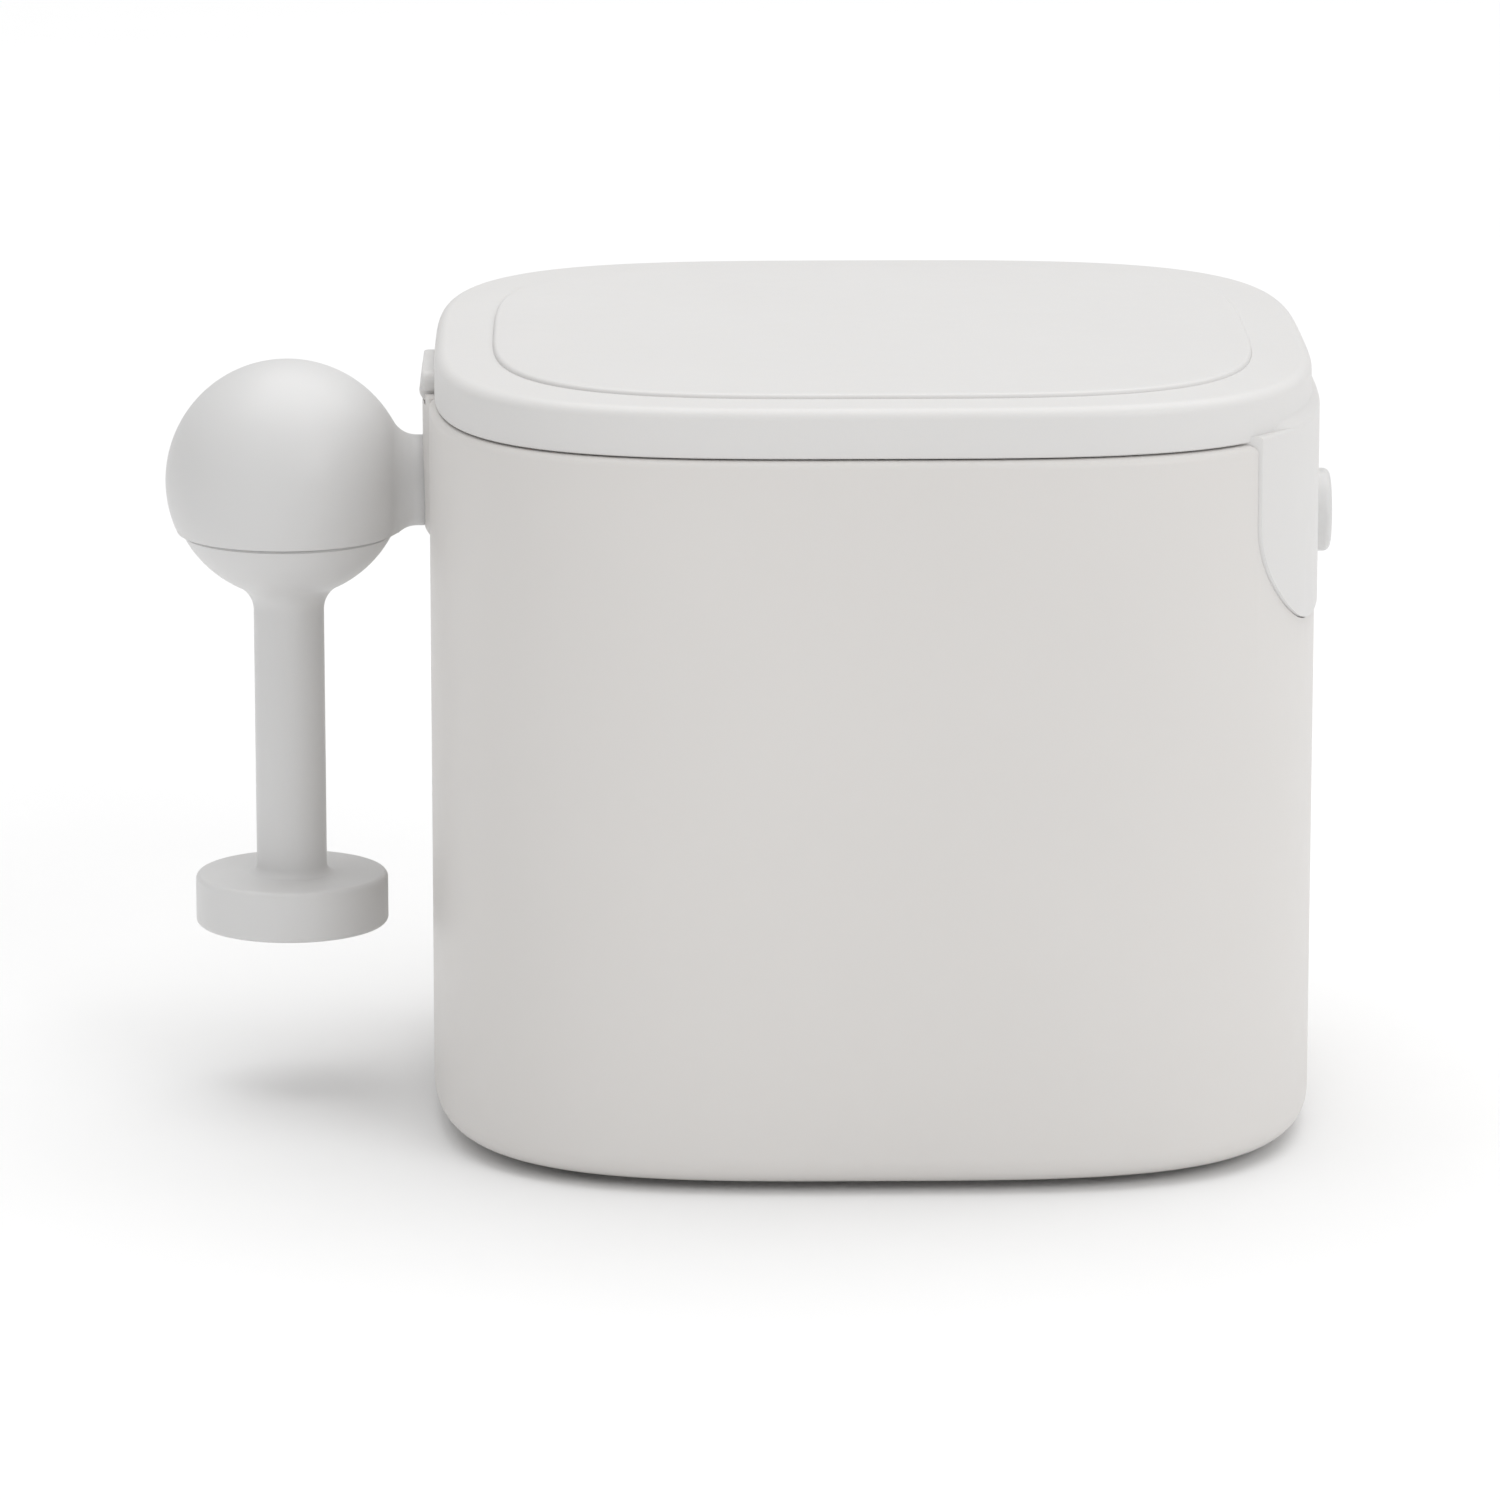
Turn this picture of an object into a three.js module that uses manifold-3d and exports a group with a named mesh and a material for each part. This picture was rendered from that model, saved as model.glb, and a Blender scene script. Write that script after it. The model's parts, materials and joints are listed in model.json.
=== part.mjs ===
// Hand-cranked pill crusher: a rounded-square casing with a hinged lid, a ball-hub crank on the
// left, a sprung latch button on the right, and a crushing drum, jaw and powder cup inside.
// Millimetres, +Z up. The crank is at -X, the latch at +X, the front at -Y.
// The origin is at the centre of the flat face that the crusher stands on.
import * as THREE from 'three';
import { mergeVertices } from 'three/addons/utils/BufferGeometryUtils.js';
import Module from 'manifold-3d';

const wasm = await Module();
wasm.setup();

// ---------------------------------------------------------------- driving dimensions

const GAP = 0.3;                 // clearance between neighbouring pieces
const CONTACT = 0.02;            // what is left between faces that rest on each other
const PLAN_EXPONENT = 3.5;       // superellipse exponent of the casing's plan
const PLAN_STEPS = 48;           // straight pieces that a plan outline is divided into

const padThickness = 0.8;        // soft pad under the base
const padHalf = 28;
const casingHalf = 40;           // half width and half depth of the casing
const rimZ = 66;                 // top of the casing's walls
const footRadius = 2.6;          // rounding round the foot of the casing
const mouthHalfX = 36;           // the hollow inside is narrower across the two end walls
const mouthHalfY = 37.2;

const lidHalf = 39.5;            // the lid is set in from the casing by half a millimetre
const lidBottomZ = rimZ + GAP;
const lidTopZ = 70.5;
const lidEdgeRadius = 1.2;
const panelHalf = 34.2;          // raised panel on the lid
const panelRise = 0.4;
const panelSeatZ = lidTopZ - 0.9;
const pocketTopZ = lidTopZ - 2.2; // ceiling of the pill tray under the lid
const gasketGrooveDepth = 0.9;

const crankZ = 56.8;             // height of the drive shaft
const shaftRadius = 3;
const ballX = -53.1;             // centre of the ball hub
const ballRadius = 11.1;
const capRadius = 10.75;         // the lower cap is a little smaller than the ball
const seamZ = crankZ - 4.6;      // where the ball ends and the cap begins
const neckRadius = 4.15;
const neckEndX = -39.8;          // the neck ends just inside the casing's wall
const studRadius = 2.9;          // stud of the arm, which turns in the ball
const rodRadius = 3.22;
const discRadius = 8.85;         // finger disc at the end of the arm
const discTopZ = 20.1;
const discBottomZ = 15.35;
const hubPinX = -46;
const hubPinRadius = 0.85;

const bossProud = 0.7;           // crank boss stands out from the left wall
const bossHalfWidth = 9;
const bossBottomZ = 51.6;
const bearingRadius = 4.9;       // hole for the outer bush
const bearingOuterX = -39.2;     // where that hole narrows to let only the neck through

const tongueHalfWidth = 32.4;    // latch tongue on the right wall
const tongueBottomZ = 48.7;
const tongueCornerRadius = 10;
const tongueProud = 0.25;
const tongueThickness = 1.65;
const tongueInnerX = casingHalf + tongueProud - tongueThickness;
const recessDepth = 1.7;         // how far the recess for the tongue goes in from the casing's face
const shoulderLowZ = lidBottomZ + 0.2; // the tongue's shoulder swells out of the lid's wall
const shoulderHighZ = 67.7;
const shoulderFadeWidth = 6;     // distance over which the shoulder dies away at each end

const buttonZ = 53.8;
const buttonRadius = 3.8;
const buttonOuterX = 42.15;
const buttonHollowRadius = 2.9;
const buttonHollowX = 41;
const buttonTravel = 1.2;
const flangeRadius = 4.25;       // keeps the button in its chamber
const flangeX = 38.2;
const flangeThickness = 0.7;
const chamberRadius = 4.45;
const latchBossRadius = 5.9;
const latchBossX = 36.9;
const retainerThickness = 0.5;
const retainerX = latchBossX - GAP - retainerThickness;

const catchRibY = [7, 12];       // two ribs snap into grooves in the casing
const catchRibX = 37.95;
const catchRibZ = [50, 51];
const catchHeadroom = 1.9;       // lets the ribs swing out as the lid starts to lift

const hingeX = -39.6;            // hinge axis, along Y
const hingeZ = rimZ + GAP;
const knuckleRadius = 1.25;
const hingeHalfLength = 6.4;
const knuckleHalfLength = 2.4;   // the casing's knuckle, between the lid's two
const hingePinRadius = 0.6;
const hingePinFrontY = -5.4;     // the front knuckle is closed, so the pin goes in from the back
const earX = -40.65;             // the lid's ear covers the hinge
const earTopZ = 67.9;

const drumRadius = 6.2;
const drumHalfLength = 12.5;
const drumTeeth = 10;
const drumPinRadius = 0.95;
const shaftOuterX = -48.6;
const shaftInnerX = 21.9;
const clipGrooveX = [19.4, 20.6];
const chamberHalfX = 16;
const chamberFrontY = -10.5;
const chamberBackY = 14.5;
const chamberBottomZ = 44;
const roomHalfX = 13.2;          // room for the drum and jaw inside the chamber
const jawFaceY = 8.6;
const jawBackY = 12;
const jawScrewX = [-8, 8];
const jawScrewZ = crankZ - 4;
const deckTopZ = 63.5;
const deckThickness = 2;
const deckScrewX = 24;
const deckScrewY = -31;

const coverTopZ = 3.2;           // base cover
const postXY = 26.5;             // screw posts in the four corners
const postTopZ = 17;
const postRadius = 3.4;

const cupHalf = 24.6;
const cupTopZ = 36;
const cupWall = 1.6;

const FAR = 60;                  // beyond every outer face, for cutting tools

// ---------------------------------------------------------------- materials

function finish(color, roughness, metalness = 0) {
  return new THREE.MeshStandardMaterial({ color, roughness, metalness });
}

const casingPlastic = finish(0xeceae6, 0.42);
const lidPlastic = finish(0xeeedea, 0.42);
const crankPlastic = finish(0xeceae6, 0.38);
const innerPlastic = finish(0xd6d8d8, 0.5);
const clearPlastic = finish(0xe4ebee, 0.2);
const softPad = finish(0x8d9092, 0.85);
const silicone = finish(0xdfe2e2, 0.6);
const steel = finish(0xb4b7ba, 0.3, 1);

// ---------------------------------------------------------------- geometry helpers

// Superellipse outline with its points bunched where it bends most.
function plan(halfX, halfY = halfX, exponent = PLAN_EXPONENT, steps = PLAN_STEPS) {
  const points = [];
  for (let i = 0; i < steps; i += 1) {
    const angle = (i / steps) * 2 * Math.PI;
    const c = Math.cos(angle);
    const s = Math.sin(angle);
    const x = halfX * Math.sign(c) * Math.abs(c) ** (2 / exponent);
    const y = halfY * Math.sign(s) * Math.abs(s) ** (2 / exponent);
    points.push(new THREE.Vector2(x, y));
  }
  return new THREE.Shape(points);
}

// Upright prism between two heights. A bevel rounds both ends inside the same outline.
function prism(shape, z0, z1, bevel = 0, bevelSegments = 3, curveSegments = 24) {
  const geometry = new THREE.ExtrudeGeometry(shape, {
    depth: z1 - z0 - 2 * bevel,
    steps: 1,
    curveSegments,
    bevelEnabled: bevel > 0,
    bevelThickness: bevel,
    bevelSize: bevel,
    bevelOffset: -bevel,
    bevelSegments,
  });
  return geometry.translate(0, 0, z0 + bevel);
}

// Closed skin over level outlines of equal length, given as [outline, height] from the lowest up.
function skin(levels) {
  const count = levels[0][0].length;
  const positions = levels.flatMap(([outline, z]) => outline.flatMap((p) => [p.x, p.y, z]));
  const indices = [];
  for (let level = 0; level < levels.length - 1; level += 1) {
    for (let i = 0; i < count; i += 1) {
      const a = level * count + i;
      const b = level * count + ((i + 1) % count);
      indices.push(a, b, b + count, a, b + count, a + count);
    }
  }
  const top = (levels.length - 1) * count;
  THREE.ShapeUtils.triangulateShape(levels[0][0], []).forEach(([a, b, c]) => {
    indices.push(a, c, b, top + a, top + b, top + c);
  });
  const geometry = new THREE.BufferGeometry();
  geometry.setAttribute('position', new THREE.Float32BufferAttribute(positions, 3));
  geometry.setIndex(indices);
  return geometry;
}

// Solid of revolution about Z from [radius, height] points that start and end on the axis.
function turned(profile, segments = 24) {
  const points = profile.map(([r, z]) => new THREE.Vector2(r, z));
  return new THREE.LatheGeometry(points, segments).rotateX(Math.PI / 2);
}

// The same, about a line along X: heights become x values.
function turnedAlongX(profile, segments = 24) {
  return turned(profile, segments).rotateY(Math.PI / 2);
}

// The same, about a line along Y: heights become y values.
function turnedAlongY(profile, segments = 16) {
  return turned(profile, segments).rotateX(-Math.PI / 2);
}

function rod(radius, from, to, chamfer = 0) {
  return [
    [0, from],
    [radius - chamfer, from],
    [radius, from + chamfer],
    [radius, to - chamfer],
    [radius - chamfer, to],
    [0, to],
  ];
}

function plainRod(radius, from, to) {
  return [[0, from], [radius, from], [radius, to], [0, to]];
}

// Points of an arc from one angle to another (degrees), as [radius, height] pairs.
function arc(centreR, centreH, radius, fromDegrees, toDegrees, steps) {
  const points = [];
  for (let i = 0; i <= steps; i += 1) {
    const angle = THREE.MathUtils.degToRad(fromDegrees + ((toDegrees - fromDegrees) * i) / steps);
    points.push([centreR + radius * Math.cos(angle), centreH + radius * Math.sin(angle)]);
  }
  return points;
}

function box(x0, x1, y0, y1, z0, z1) {
  const geometry = new THREE.BoxGeometry(x1 - x0, y1 - y0, z1 - z0);
  return geometry.translate((x0 + x1) / 2, (y0 + y1) / 2, (z0 + z1) / 2);
}

// Signed volume of an indexed mesh, positive when its faces point outwards.
function signedVolume(positions, indices) {
  const corner = [0, 1, 2].map(() => new THREE.Vector3());
  let total = 0;
  for (let i = 0; i < indices.length; i += 3) {
    corner.forEach((v, k) => v.fromArray(positions, indices[i + k] * 3));
    total += corner[0].dot(corner[1].clone().cross(corner[2])) / 6;
  }
  return total;
}

// Closed geometry to a solid for cutting and joining, with its faces turned outwards.
function solid(geometry) {
  const bare = new THREE.BufferGeometry();
  bare.setAttribute('position', geometry.attributes.position);
  bare.setIndex(geometry.index);
  const merged = mergeVertices(bare, 1e-4);
  const positions = Float32Array.from(merged.attributes.position.array);
  const triangles = [];
  const index = merged.index.array;
  for (let i = 0; i < index.length; i += 3) {
    const [a, b, c] = [index[i], index[i + 1], index[i + 2]];
    if (a !== b && b !== c && c !== a) triangles.push(a, b, c);
  }
  if (signedVolume(positions, triangles) < 0) triangles.reverse();
  return new wasm.Manifold(new wasm.Mesh({
    numProp: 3,
    vertProperties: positions,
    triVerts: Uint32Array.from(triangles),
  }));
}

function geometryOf(manifold) {
  const { vertProperties, triVerts } = manifold.getMesh();
  const geometry = new THREE.BufferGeometry();
  geometry.setAttribute('position', new THREE.BufferAttribute(vertProperties, 3));
  geometry.setIndex(new THREE.BufferAttribute(triVerts, 1));
  geometry.computeVertexNormals();
  return geometry;
}

function join(...pieces) {
  return pieces.reduce((all, piece) => all.add(piece));
}

function cut(piece, ...tools) {
  return tools.reduce((rest, tool) => rest.subtract(tool), piece);
}

function piece(name, shape, material) {
  const mesh = new THREE.Mesh(geometryOf(shape), material);
  mesh.name = name;
  return mesh;
}

function group(...members) {
  const result = new THREE.Group();
  members.forEach((member) => result.add(member));
  return result;
}

// The four corners, or the two sides, that a repeated shape stands at.
const corners = [[-1, -1], [1, -1], [-1, 1], [1, 1]];
const sides = [-1, 1];

// Round tool along Z, or along X at the height of the drive shaft.
function roundZ(radius, z0, z1, segments = 16) {
  return solid(turned(plainRod(radius, z0, z1), segments));
}

function roundOnShaft(radius, x0, x1, segments = 24) {
  return solid(turnedAlongX(plainRod(radius, x0, x1), segments).translate(0, 0, crankZ));
}

// ---------------------------------------------------------------- shared shapes

// Outline of the latch tongue, seen along X, grown by a margin all round. It runs on above the rim.
function tongueOutline(margin) {
  const half = tongueHalfWidth + margin;
  const bottom = tongueBottomZ - margin;
  const radius = tongueCornerRadius + margin;
  const top = rimZ + 8;
  const outline = new THREE.Shape();
  outline.moveTo(half, top);
  outline.lineTo(-half, top);
  outline.lineTo(-half, bottom + radius);
  outline.absarc(-half + radius, bottom + radius, radius, Math.PI, 1.5 * Math.PI);
  outline.absarc(half - radius, bottom + radius, radius, 1.5 * Math.PI, 2 * Math.PI);
  outline.closePath();
  return outline;
}

// Turns a prism drawn in (y, z) so that it runs along X.
function alongX(geometry) {
  return geometry.rotateY(Math.PI / 2).rotateX(Math.PI / 2);
}

// The tongue's outline as a prism along X, from x0 to x1.
function tonguePrism(margin, x0, x1) {
  return solid(alongX(prism(tongueOutline(margin), x0, x1, 0, 1, 8)));
}

// Round barrel on the hinge axis, between two y values.
function hingeBarrel(radius, y0, y1, segments = 16) {
  return solid(turnedAlongY(plainRod(radius, y0, y1), segments).translate(hingeX, 0, hingeZ));
}

// Bore for the hinge pin: closed at the front and open at the back.
function hingePinHole() {
  return hingeBarrel(hingePinRadius + 0.1, hingePinFrontY - 0.1, 12);
}

// Pan-head screw with a cross recess, standing on its head at z = 0 with its shank upwards.
function screwSolid(headRadius, headHeight, shankRadius, shankLength) {
  const headEdge = 0.4;
  const pointLength = 0.8;
  const screw = turned([
    [0, 0],
    [headRadius - headEdge, 0],
    [headRadius, headEdge],
    [headRadius, headHeight],
    [shankRadius, headHeight],
    [shankRadius, headHeight + shankLength - pointLength],
    [0, headHeight + shankLength],
  ], 12);
  const slotReach = headRadius * 0.55;
  const slotHalfWidth = 0.25;
  const slotDepth = 0.55;
  const slotAlongX = solid(box(-slotReach, slotReach, -slotHalfWidth, slotHalfWidth, -1, slotDepth));
  const slotAlongY = solid(box(-slotHalfWidth, slotHalfWidth, -slotReach, slotReach, -1, slotDepth));
  return cut(solid(screw), slotAlongX, slotAlongY);
}

// ---------------------------------------------------------------- casing

// Rounded pad on the left wall that carries the crank's bearing and the hinge.
function crankBoss() {
  const cornerRadius = 5;
  const edge = 0.5;
  const outline = new THREE.Shape();
  outline.moveTo(-bossHalfWidth, rimZ);
  outline.lineTo(-bossHalfWidth, bossBottomZ + cornerRadius);
  outline.absarc(-bossHalfWidth + cornerRadius, bossBottomZ + cornerRadius, cornerRadius,
    Math.PI, 1.5 * Math.PI);
  outline.absarc(bossHalfWidth - cornerRadius, bossBottomZ + cornerRadius, cornerRadius,
    1.5 * Math.PI, 2 * Math.PI);
  outline.lineTo(bossHalfWidth, rimZ);
  outline.closePath();
  const outerX = -casingHalf - bossProud;
  return solid(alongX(prism(outline, outerX, outerX + 3, edge, 2, 6)));
}

// Posts for the base screws, each tied to its corner of the casing by a rib.
function screwPosts() {
  const ribLength = 6;
  const ribHalfWidth = 1.2;
  const bottomZ = coverTopZ + GAP;
  return corners.map(([sx, sy]) => {
    const post = roundZ(postRadius, bottomZ, postTopZ);
    const rib = box(0, ribLength, -ribHalfWidth, ribHalfWidth, bottomZ, postTopZ);
    return post.add(solid(rib.rotateZ(Math.atan2(sy, sx)))).translate([sx * postXY, sy * postXY, 0]);
  });
}

// Ledge that the crusher's deck rests on.
function deckLedge() {
  const topZ = deckTopZ - deckThickness;
  const ledgeHeight = 3;
  const ledgeWidth = 1.8;
  const outer = plan(mouthHalfX + 0.5, mouthHalfY + 0.5);
  const inner = plan(mouthHalfX - ledgeWidth, mouthHalfY - ledgeWidth);
  return cut(solid(prism(outer, topZ - ledgeHeight, topZ)), solid(prism(inner, 0, rimZ)));
}

function deckPosts() {
  const deckPostRadius = 2.5;
  const post = roundZ(deckPostRadius, deckTopZ - 8, deckTopZ - deckThickness);
  return sides.map((side) => post.translate([side * deckScrewX, deckScrewY, 0]));
}

function pilotHoles() {
  const basePilot = roundZ(1.6, 0, postTopZ - 2);
  const deckPilot = roundZ(1.4, deckTopZ - 7.3, deckTopZ, 12);
  return [
    ...corners.map(([sx, sy]) => basePilot.translate([sx * postXY, sy * postXY, 0])),
    ...sides.map((side) => deckPilot.translate([side * deckScrewX, deckScrewY, 0])),
  ];
}

// Recess for the tongue, with a slot for the latch's boss and a groove for each catch rib.
function latchRecess() {
  const core = solid(prism(plan(casingHalf - recessDepth), 0, rimZ + 20));
  const recess = tonguePrism(GAP, 10, FAR).subtract(core);
  const slotHalfWidth = latchBossRadius + 0.4;
  const slot = solid(box(30, FAR, -slotHalfWidth, slotHalfWidth, tongueBottomZ - GAP, rimZ + 5));
  const grooves = sides.map((side) => {
    const ends = catchRibY.map((y) => side * y).sort((a, b) => a - b);
    const bottomZ = catchRibZ[0] - 0.4;
    const topZ = catchRibZ[1] + catchHeadroom;
    return solid(box(catchRibX - 0.35, 39, ends[0] - 0.7, ends[1] + 0.7, bottomZ, topZ));
  });
  return join(recess, slot, ...grooves);
}

// Way in for the crank: the neck's hole, the bush behind it and room for the bush's flange.
function bearingHole() {
  const flangeRoomRadius = 6.6;
  return join(
    roundOnShaft(neckRadius + GAP, -FAR, bearingOuterX + 1, 32),
    roundOnShaft(bearingRadius, bearingOuterX, -30),
    roundOnShaft(flangeRoomRadius, -36, -30),
  );
}

function bodyShell() {
  const block = solid(prism(plan(casingHalf), padThickness, rimZ + footRadius, footRadius));
  const aboveRim = solid(box(-FAR, FAR, -FAR, FAR, rimZ, rimZ + 20));
  const hollow = solid(prism(plan(mouthHalfX, mouthHalfY), -5, rimZ + 10));
  const walls = cut(block, aboveRim, hollow);
  const boss = cut(crankBoss(), aboveRim, hollow);
  const knuckle = hingeBarrel(knuckleRadius, -knuckleHalfLength, knuckleHalfLength);
  const shell = join(walls, boss, knuckle, ...screwPosts(), deckLedge(), ...deckPosts());
  const knuckleRooms = [
    hingeBarrel(knuckleRadius + GAP, -hingeHalfLength - GAP, -knuckleHalfLength),
    hingeBarrel(knuckleRadius + GAP, knuckleHalfLength, hingeHalfLength + GAP),
  ];
  return cut(shell, latchRecess(), bearingHole(), ...knuckleRooms, hingePinHole(), ...pilotHoles());
}

function baseCover() {
  const plate = solid(prism(plan(mouthHalfX - GAP, mouthHalfY - GAP), padThickness, coverTopZ));
  const screwHole = roundZ(1.7, 0, 10);
  const headRoom = roundZ(3.1, 0, padThickness + 1.7, 20);
  return cut(plate, ...corners.map(([sx, sy]) => (
    join(screwHole, headRoom).translate([sx * postXY, sy * postXY, 0]))));
}

function basePad() {
  return solid(prism(plan(padHalf), 0, padThickness));
}

function baseScrew(sx, sy) {
  const headSunk = 0.15;
  const screw = screwSolid(2.7, 1.3, 1.3, 9);
  return screw.translate([sx * postXY, sy * postXY, padThickness + headSunk]);
}

// ---------------------------------------------------------------- crusher inside

// Deck with a chamber hanging from it. The drum turns in the chamber, against the fixed jaw.
function crusherHousing() {
  const deckZ = deckTopZ - deckThickness;
  const deck = solid(prism(plan(mouthHalfX - 0.4, mouthHalfY - 0.4), deckZ, deckTopZ));
  const chamber = solid(box(-chamberHalfX, chamberHalfX, chamberFrontY, chamberBackY,
    chamberBottomZ, deckZ + 0.5));
  const room = roomHalfX;
  const inlet = solid(box(-room, room, 0, jawBackY, crankZ - 3, deckTopZ + 1));
  const jawRoom = solid(box(-room, room, 5.5, jawBackY, crankZ - 9, deckTopZ + 1));
  const outlet = solid(box(-room, room, -6, jawBackY, chamberBottomZ - 1, crankZ - 3));
  const deckHole = join(
    roundZ(1.5, deckZ - 1, deckTopZ + 1, 12),
    roundZ(2.3, deckTopZ - 1.3, deckTopZ + 1, 12),
  );
  const holes = [
    roundOnShaft(drumRadius + 1.2, -room, room, 32),
    roundOnShaft(shaftRadius + GAP, -40, 0),
    roundOnShaft(4.8, 0, 40),
    roundOnShaft(6.6, -36.5, -33.5),
    roundOnShaft(6.2, chamberHalfX + 0.1, 23),
    ...jawScrewX.map((x) => solid(turnedAlongY(plainRod(1.5, 10, 20)).translate(x, 0, jawScrewZ))),
    ...sides.map((side) => deckHole.translate([side * deckScrewX, deckScrewY, 0])),
  ];
  return cut(join(deck, chamber), inlet, jawRoom, outlet, ...holes);
}

function deckScrew(side) {
  const screw = screwSolid(2, 1.1, 1.1, 5).rotate([180, 0, 0]);
  const headSunk = 0.05;
  return screw.translate([side * deckScrewX, deckScrewY, deckTopZ - headSunk]);
}

// Toothed plate that the drum crushes the pills against.
function fixedJaw() {
  const backY = jawBackY - CONTACT;
  const topZ = crankZ + 3;
  const bottomZ = crankZ - 8.6;
  const ribs = 6;
  const pitch = (topZ - bottomZ) / ribs;
  const rootY = jawFaceY + 0.7;
  const crestY = jawFaceY - 0.3;
  const outline = [new THREE.Vector2(backY, topZ), new THREE.Vector2(backY, bottomZ)];
  for (let i = 0; i < ribs; i += 1) {
    const z = bottomZ + i * pitch;
    outline.push(new THREE.Vector2(rootY, z));
    outline.push(new THREE.Vector2(crestY, z + pitch * 0.65));
  }
  outline.push(new THREE.Vector2(rootY, topZ));
  const jawHalfX = 12.6;
  const plate = solid(alongX(prism(new THREE.Shape(outline), -jawHalfX, jawHalfX)));
  const holes = jawScrewX.map((x) => (
    solid(turnedAlongY(plainRod(1.2, 9.6, 14)).translate(x, 0, jawScrewZ))));
  return cut(plate, ...holes);
}

function jawScrew(x) {
  const headHeight = 1.2;
  const screw = screwSolid(2.4, headHeight, 0.95, 4).rotate([90, 0, 0]);
  return screw.translate([x, chamberBackY + headHeight + 0.05, jawScrewZ]);
}

// Crushing drum with one tooth crest in every four points of its outline.
function crushDrum() {
  const toothProfile = [0, 0.35, 1, 0.35];
  const rootRadius = drumRadius - 1;
  const count = drumTeeth * toothProfile.length;
  const points = [];
  for (let i = 0; i < count; i += 1) {
    const angle = (i / count) * 2 * Math.PI;
    const radius = rootRadius + toothProfile[i % toothProfile.length];
    points.push(new THREE.Vector2(radius * Math.cos(angle), radius * Math.sin(angle)));
  }
  const geometry = prism(new THREE.Shape(points), -drumHalfLength, drumHalfLength);
  geometry.rotateY(Math.PI / 2).translate(0, 0, crankZ);
  return cut(solid(geometry), roundOnShaft(shaftRadius + GAP, -20, 20), drumPinHole());
}

function drumPinHole() {
  return roundZ(drumPinRadius + GAP, crankZ - 9, crankZ + 9);
}

function drumPin() {
  const halfLength = drumRadius - 1.4;
  return solid(turned(rod(drumPinRadius, crankZ - halfLength, crankZ + halfLength, 0.2), 16));
}

function hubPinHole(halfLength) {
  return roundZ(hubPinRadius + 0.25, crankZ - halfLength, crankZ + halfLength).translate([hubPinX, 0, 0]);
}

function driveShaft() {
  const edge = 0.5;
  const clipGrooveRadius = 2.2;
  const profile = [
    [0, shaftOuterX],
    [shaftRadius - edge, shaftOuterX],
    [shaftRadius, shaftOuterX + edge],
    [shaftRadius, clipGrooveX[0]],
    [clipGrooveRadius, clipGrooveX[0]],
    [clipGrooveRadius, clipGrooveX[1]],
    [shaftRadius, clipGrooveX[1]],
    [shaftRadius, shaftInnerX - edge],
    [shaftRadius - edge, shaftInnerX],
    [0, shaftInnerX],
  ];
  const shaft = solid(turnedAlongX(profile).translate(0, 0, crankZ));
  return cut(shaft, drumPinHole(), hubPinHole(9));
}

// Plain bearing on the shaft: a sleeve from x0 to x1 and a flange that goes on from x1 to x2.
function bush(sleeveRadius, collarRadius, x0, x1, x2) {
  const body = turnedAlongX([
    [0, x0],
    [sleeveRadius, x0],
    [sleeveRadius, x1],
    [collarRadius, x1],
    [collarRadius, x2],
    [0, x2],
  ]).translate(0, 0, crankZ);
  return solid(body).subtract(roundOnShaft(shaftRadius + 0.1, -FAR, FAR));
}

// Bearing in the casing's left wall.
function outerBush() {
  return bush(bearingRadius - GAP, 6.2, bearingOuterX + GAP, -35.7, -34.5);
}

// Bearing in the crusher housing's right wall.
function innerBush() {
  return bush(4.5, 5.8, 13.4, 16.3, 17.5);
}

// Spring clip in the groove at the shaft's right end.
function shaftClip() {
  const disc = roundOnShaft(4.8, clipGrooveX[0] + GAP, clipGrooveX[1] - GAP);
  const bore = roundOnShaft(2.5, 10, 30);
  const mouth = solid(box(10, 30, -1.8, 1.8, crankZ - 8, crankZ));
  return cut(disc, bore, mouth);
}

// Open cup that catches the powder under the crusher.
function powderCup() {
  const outer = solid(prism(plan(cupHalf), coverTopZ + GAP, cupTopZ + 2, 1.2, 3));
  const aboveCup = solid(box(-FAR, FAR, -FAR, FAR, cupTopZ, FAR));
  const inner = solid(prism(plan(cupHalf - cupWall), coverTopZ + GAP + cupWall, FAR, 1, 2));
  return cut(outer, aboveCup, inner);
}

// ---------------------------------------------------------------- crank

// Ball, drawn about its own centre and cut off flat where the arm's cap meets it.
function hubBall() {
  const poleAngle = 84;
  return solid(turned([
    [0, -ballRadius],
    ...arc(0, 0, ballRadius, -poleAngle, poleAngle, 14),
    [0, ballRadius],
  ], 32));
}

// Neck from the ball to the casing, drawn along X from the ball's centre.
function hubNeck() {
  const filletRadius = 2.4;
  // The neck's fillet touches both the ball and the neck.
  const centreR = neckRadius + filletRadius;
  const centreX = Math.sqrt((ballRadius + filletRadius) ** 2 - centreR ** 2);
  const ballAngle = THREE.MathUtils.radToDeg(Math.atan2(-centreX, -centreR));
  const fillet = arc(centreR, centreX, filletRadius, 360 + ballAngle, 180, 4);
  const insideBall = 2;
  return solid(turnedAlongX([
    [0, insideBall],
    [fillet[0][0], insideBall],
    ...fillet,
    [neckRadius, neckEndX - ballX],
    [0, neckEndX - ballX],
  ], 28));
}

// Socket in the ball for the arm's stud, with a groove for the snap ring.
function studSocket() {
  const socketRadius = studRadius + 0.35;
  const ringGrooveRadius = 3.95;
  return solid(turned([
    [0, seamZ - 5],
    [socketRadius, seamZ - 5],
    [socketRadius, seamZ + 4.6],
    [ringGrooveRadius, seamZ + 4.6],
    [ringGrooveRadius, seamZ + 6],
    [socketRadius, seamZ + 6],
    [socketRadius, seamZ + 8.4],
    [0, seamZ + 8.4],
  ], 24).translate(ballX, 0, 0));
}

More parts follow.
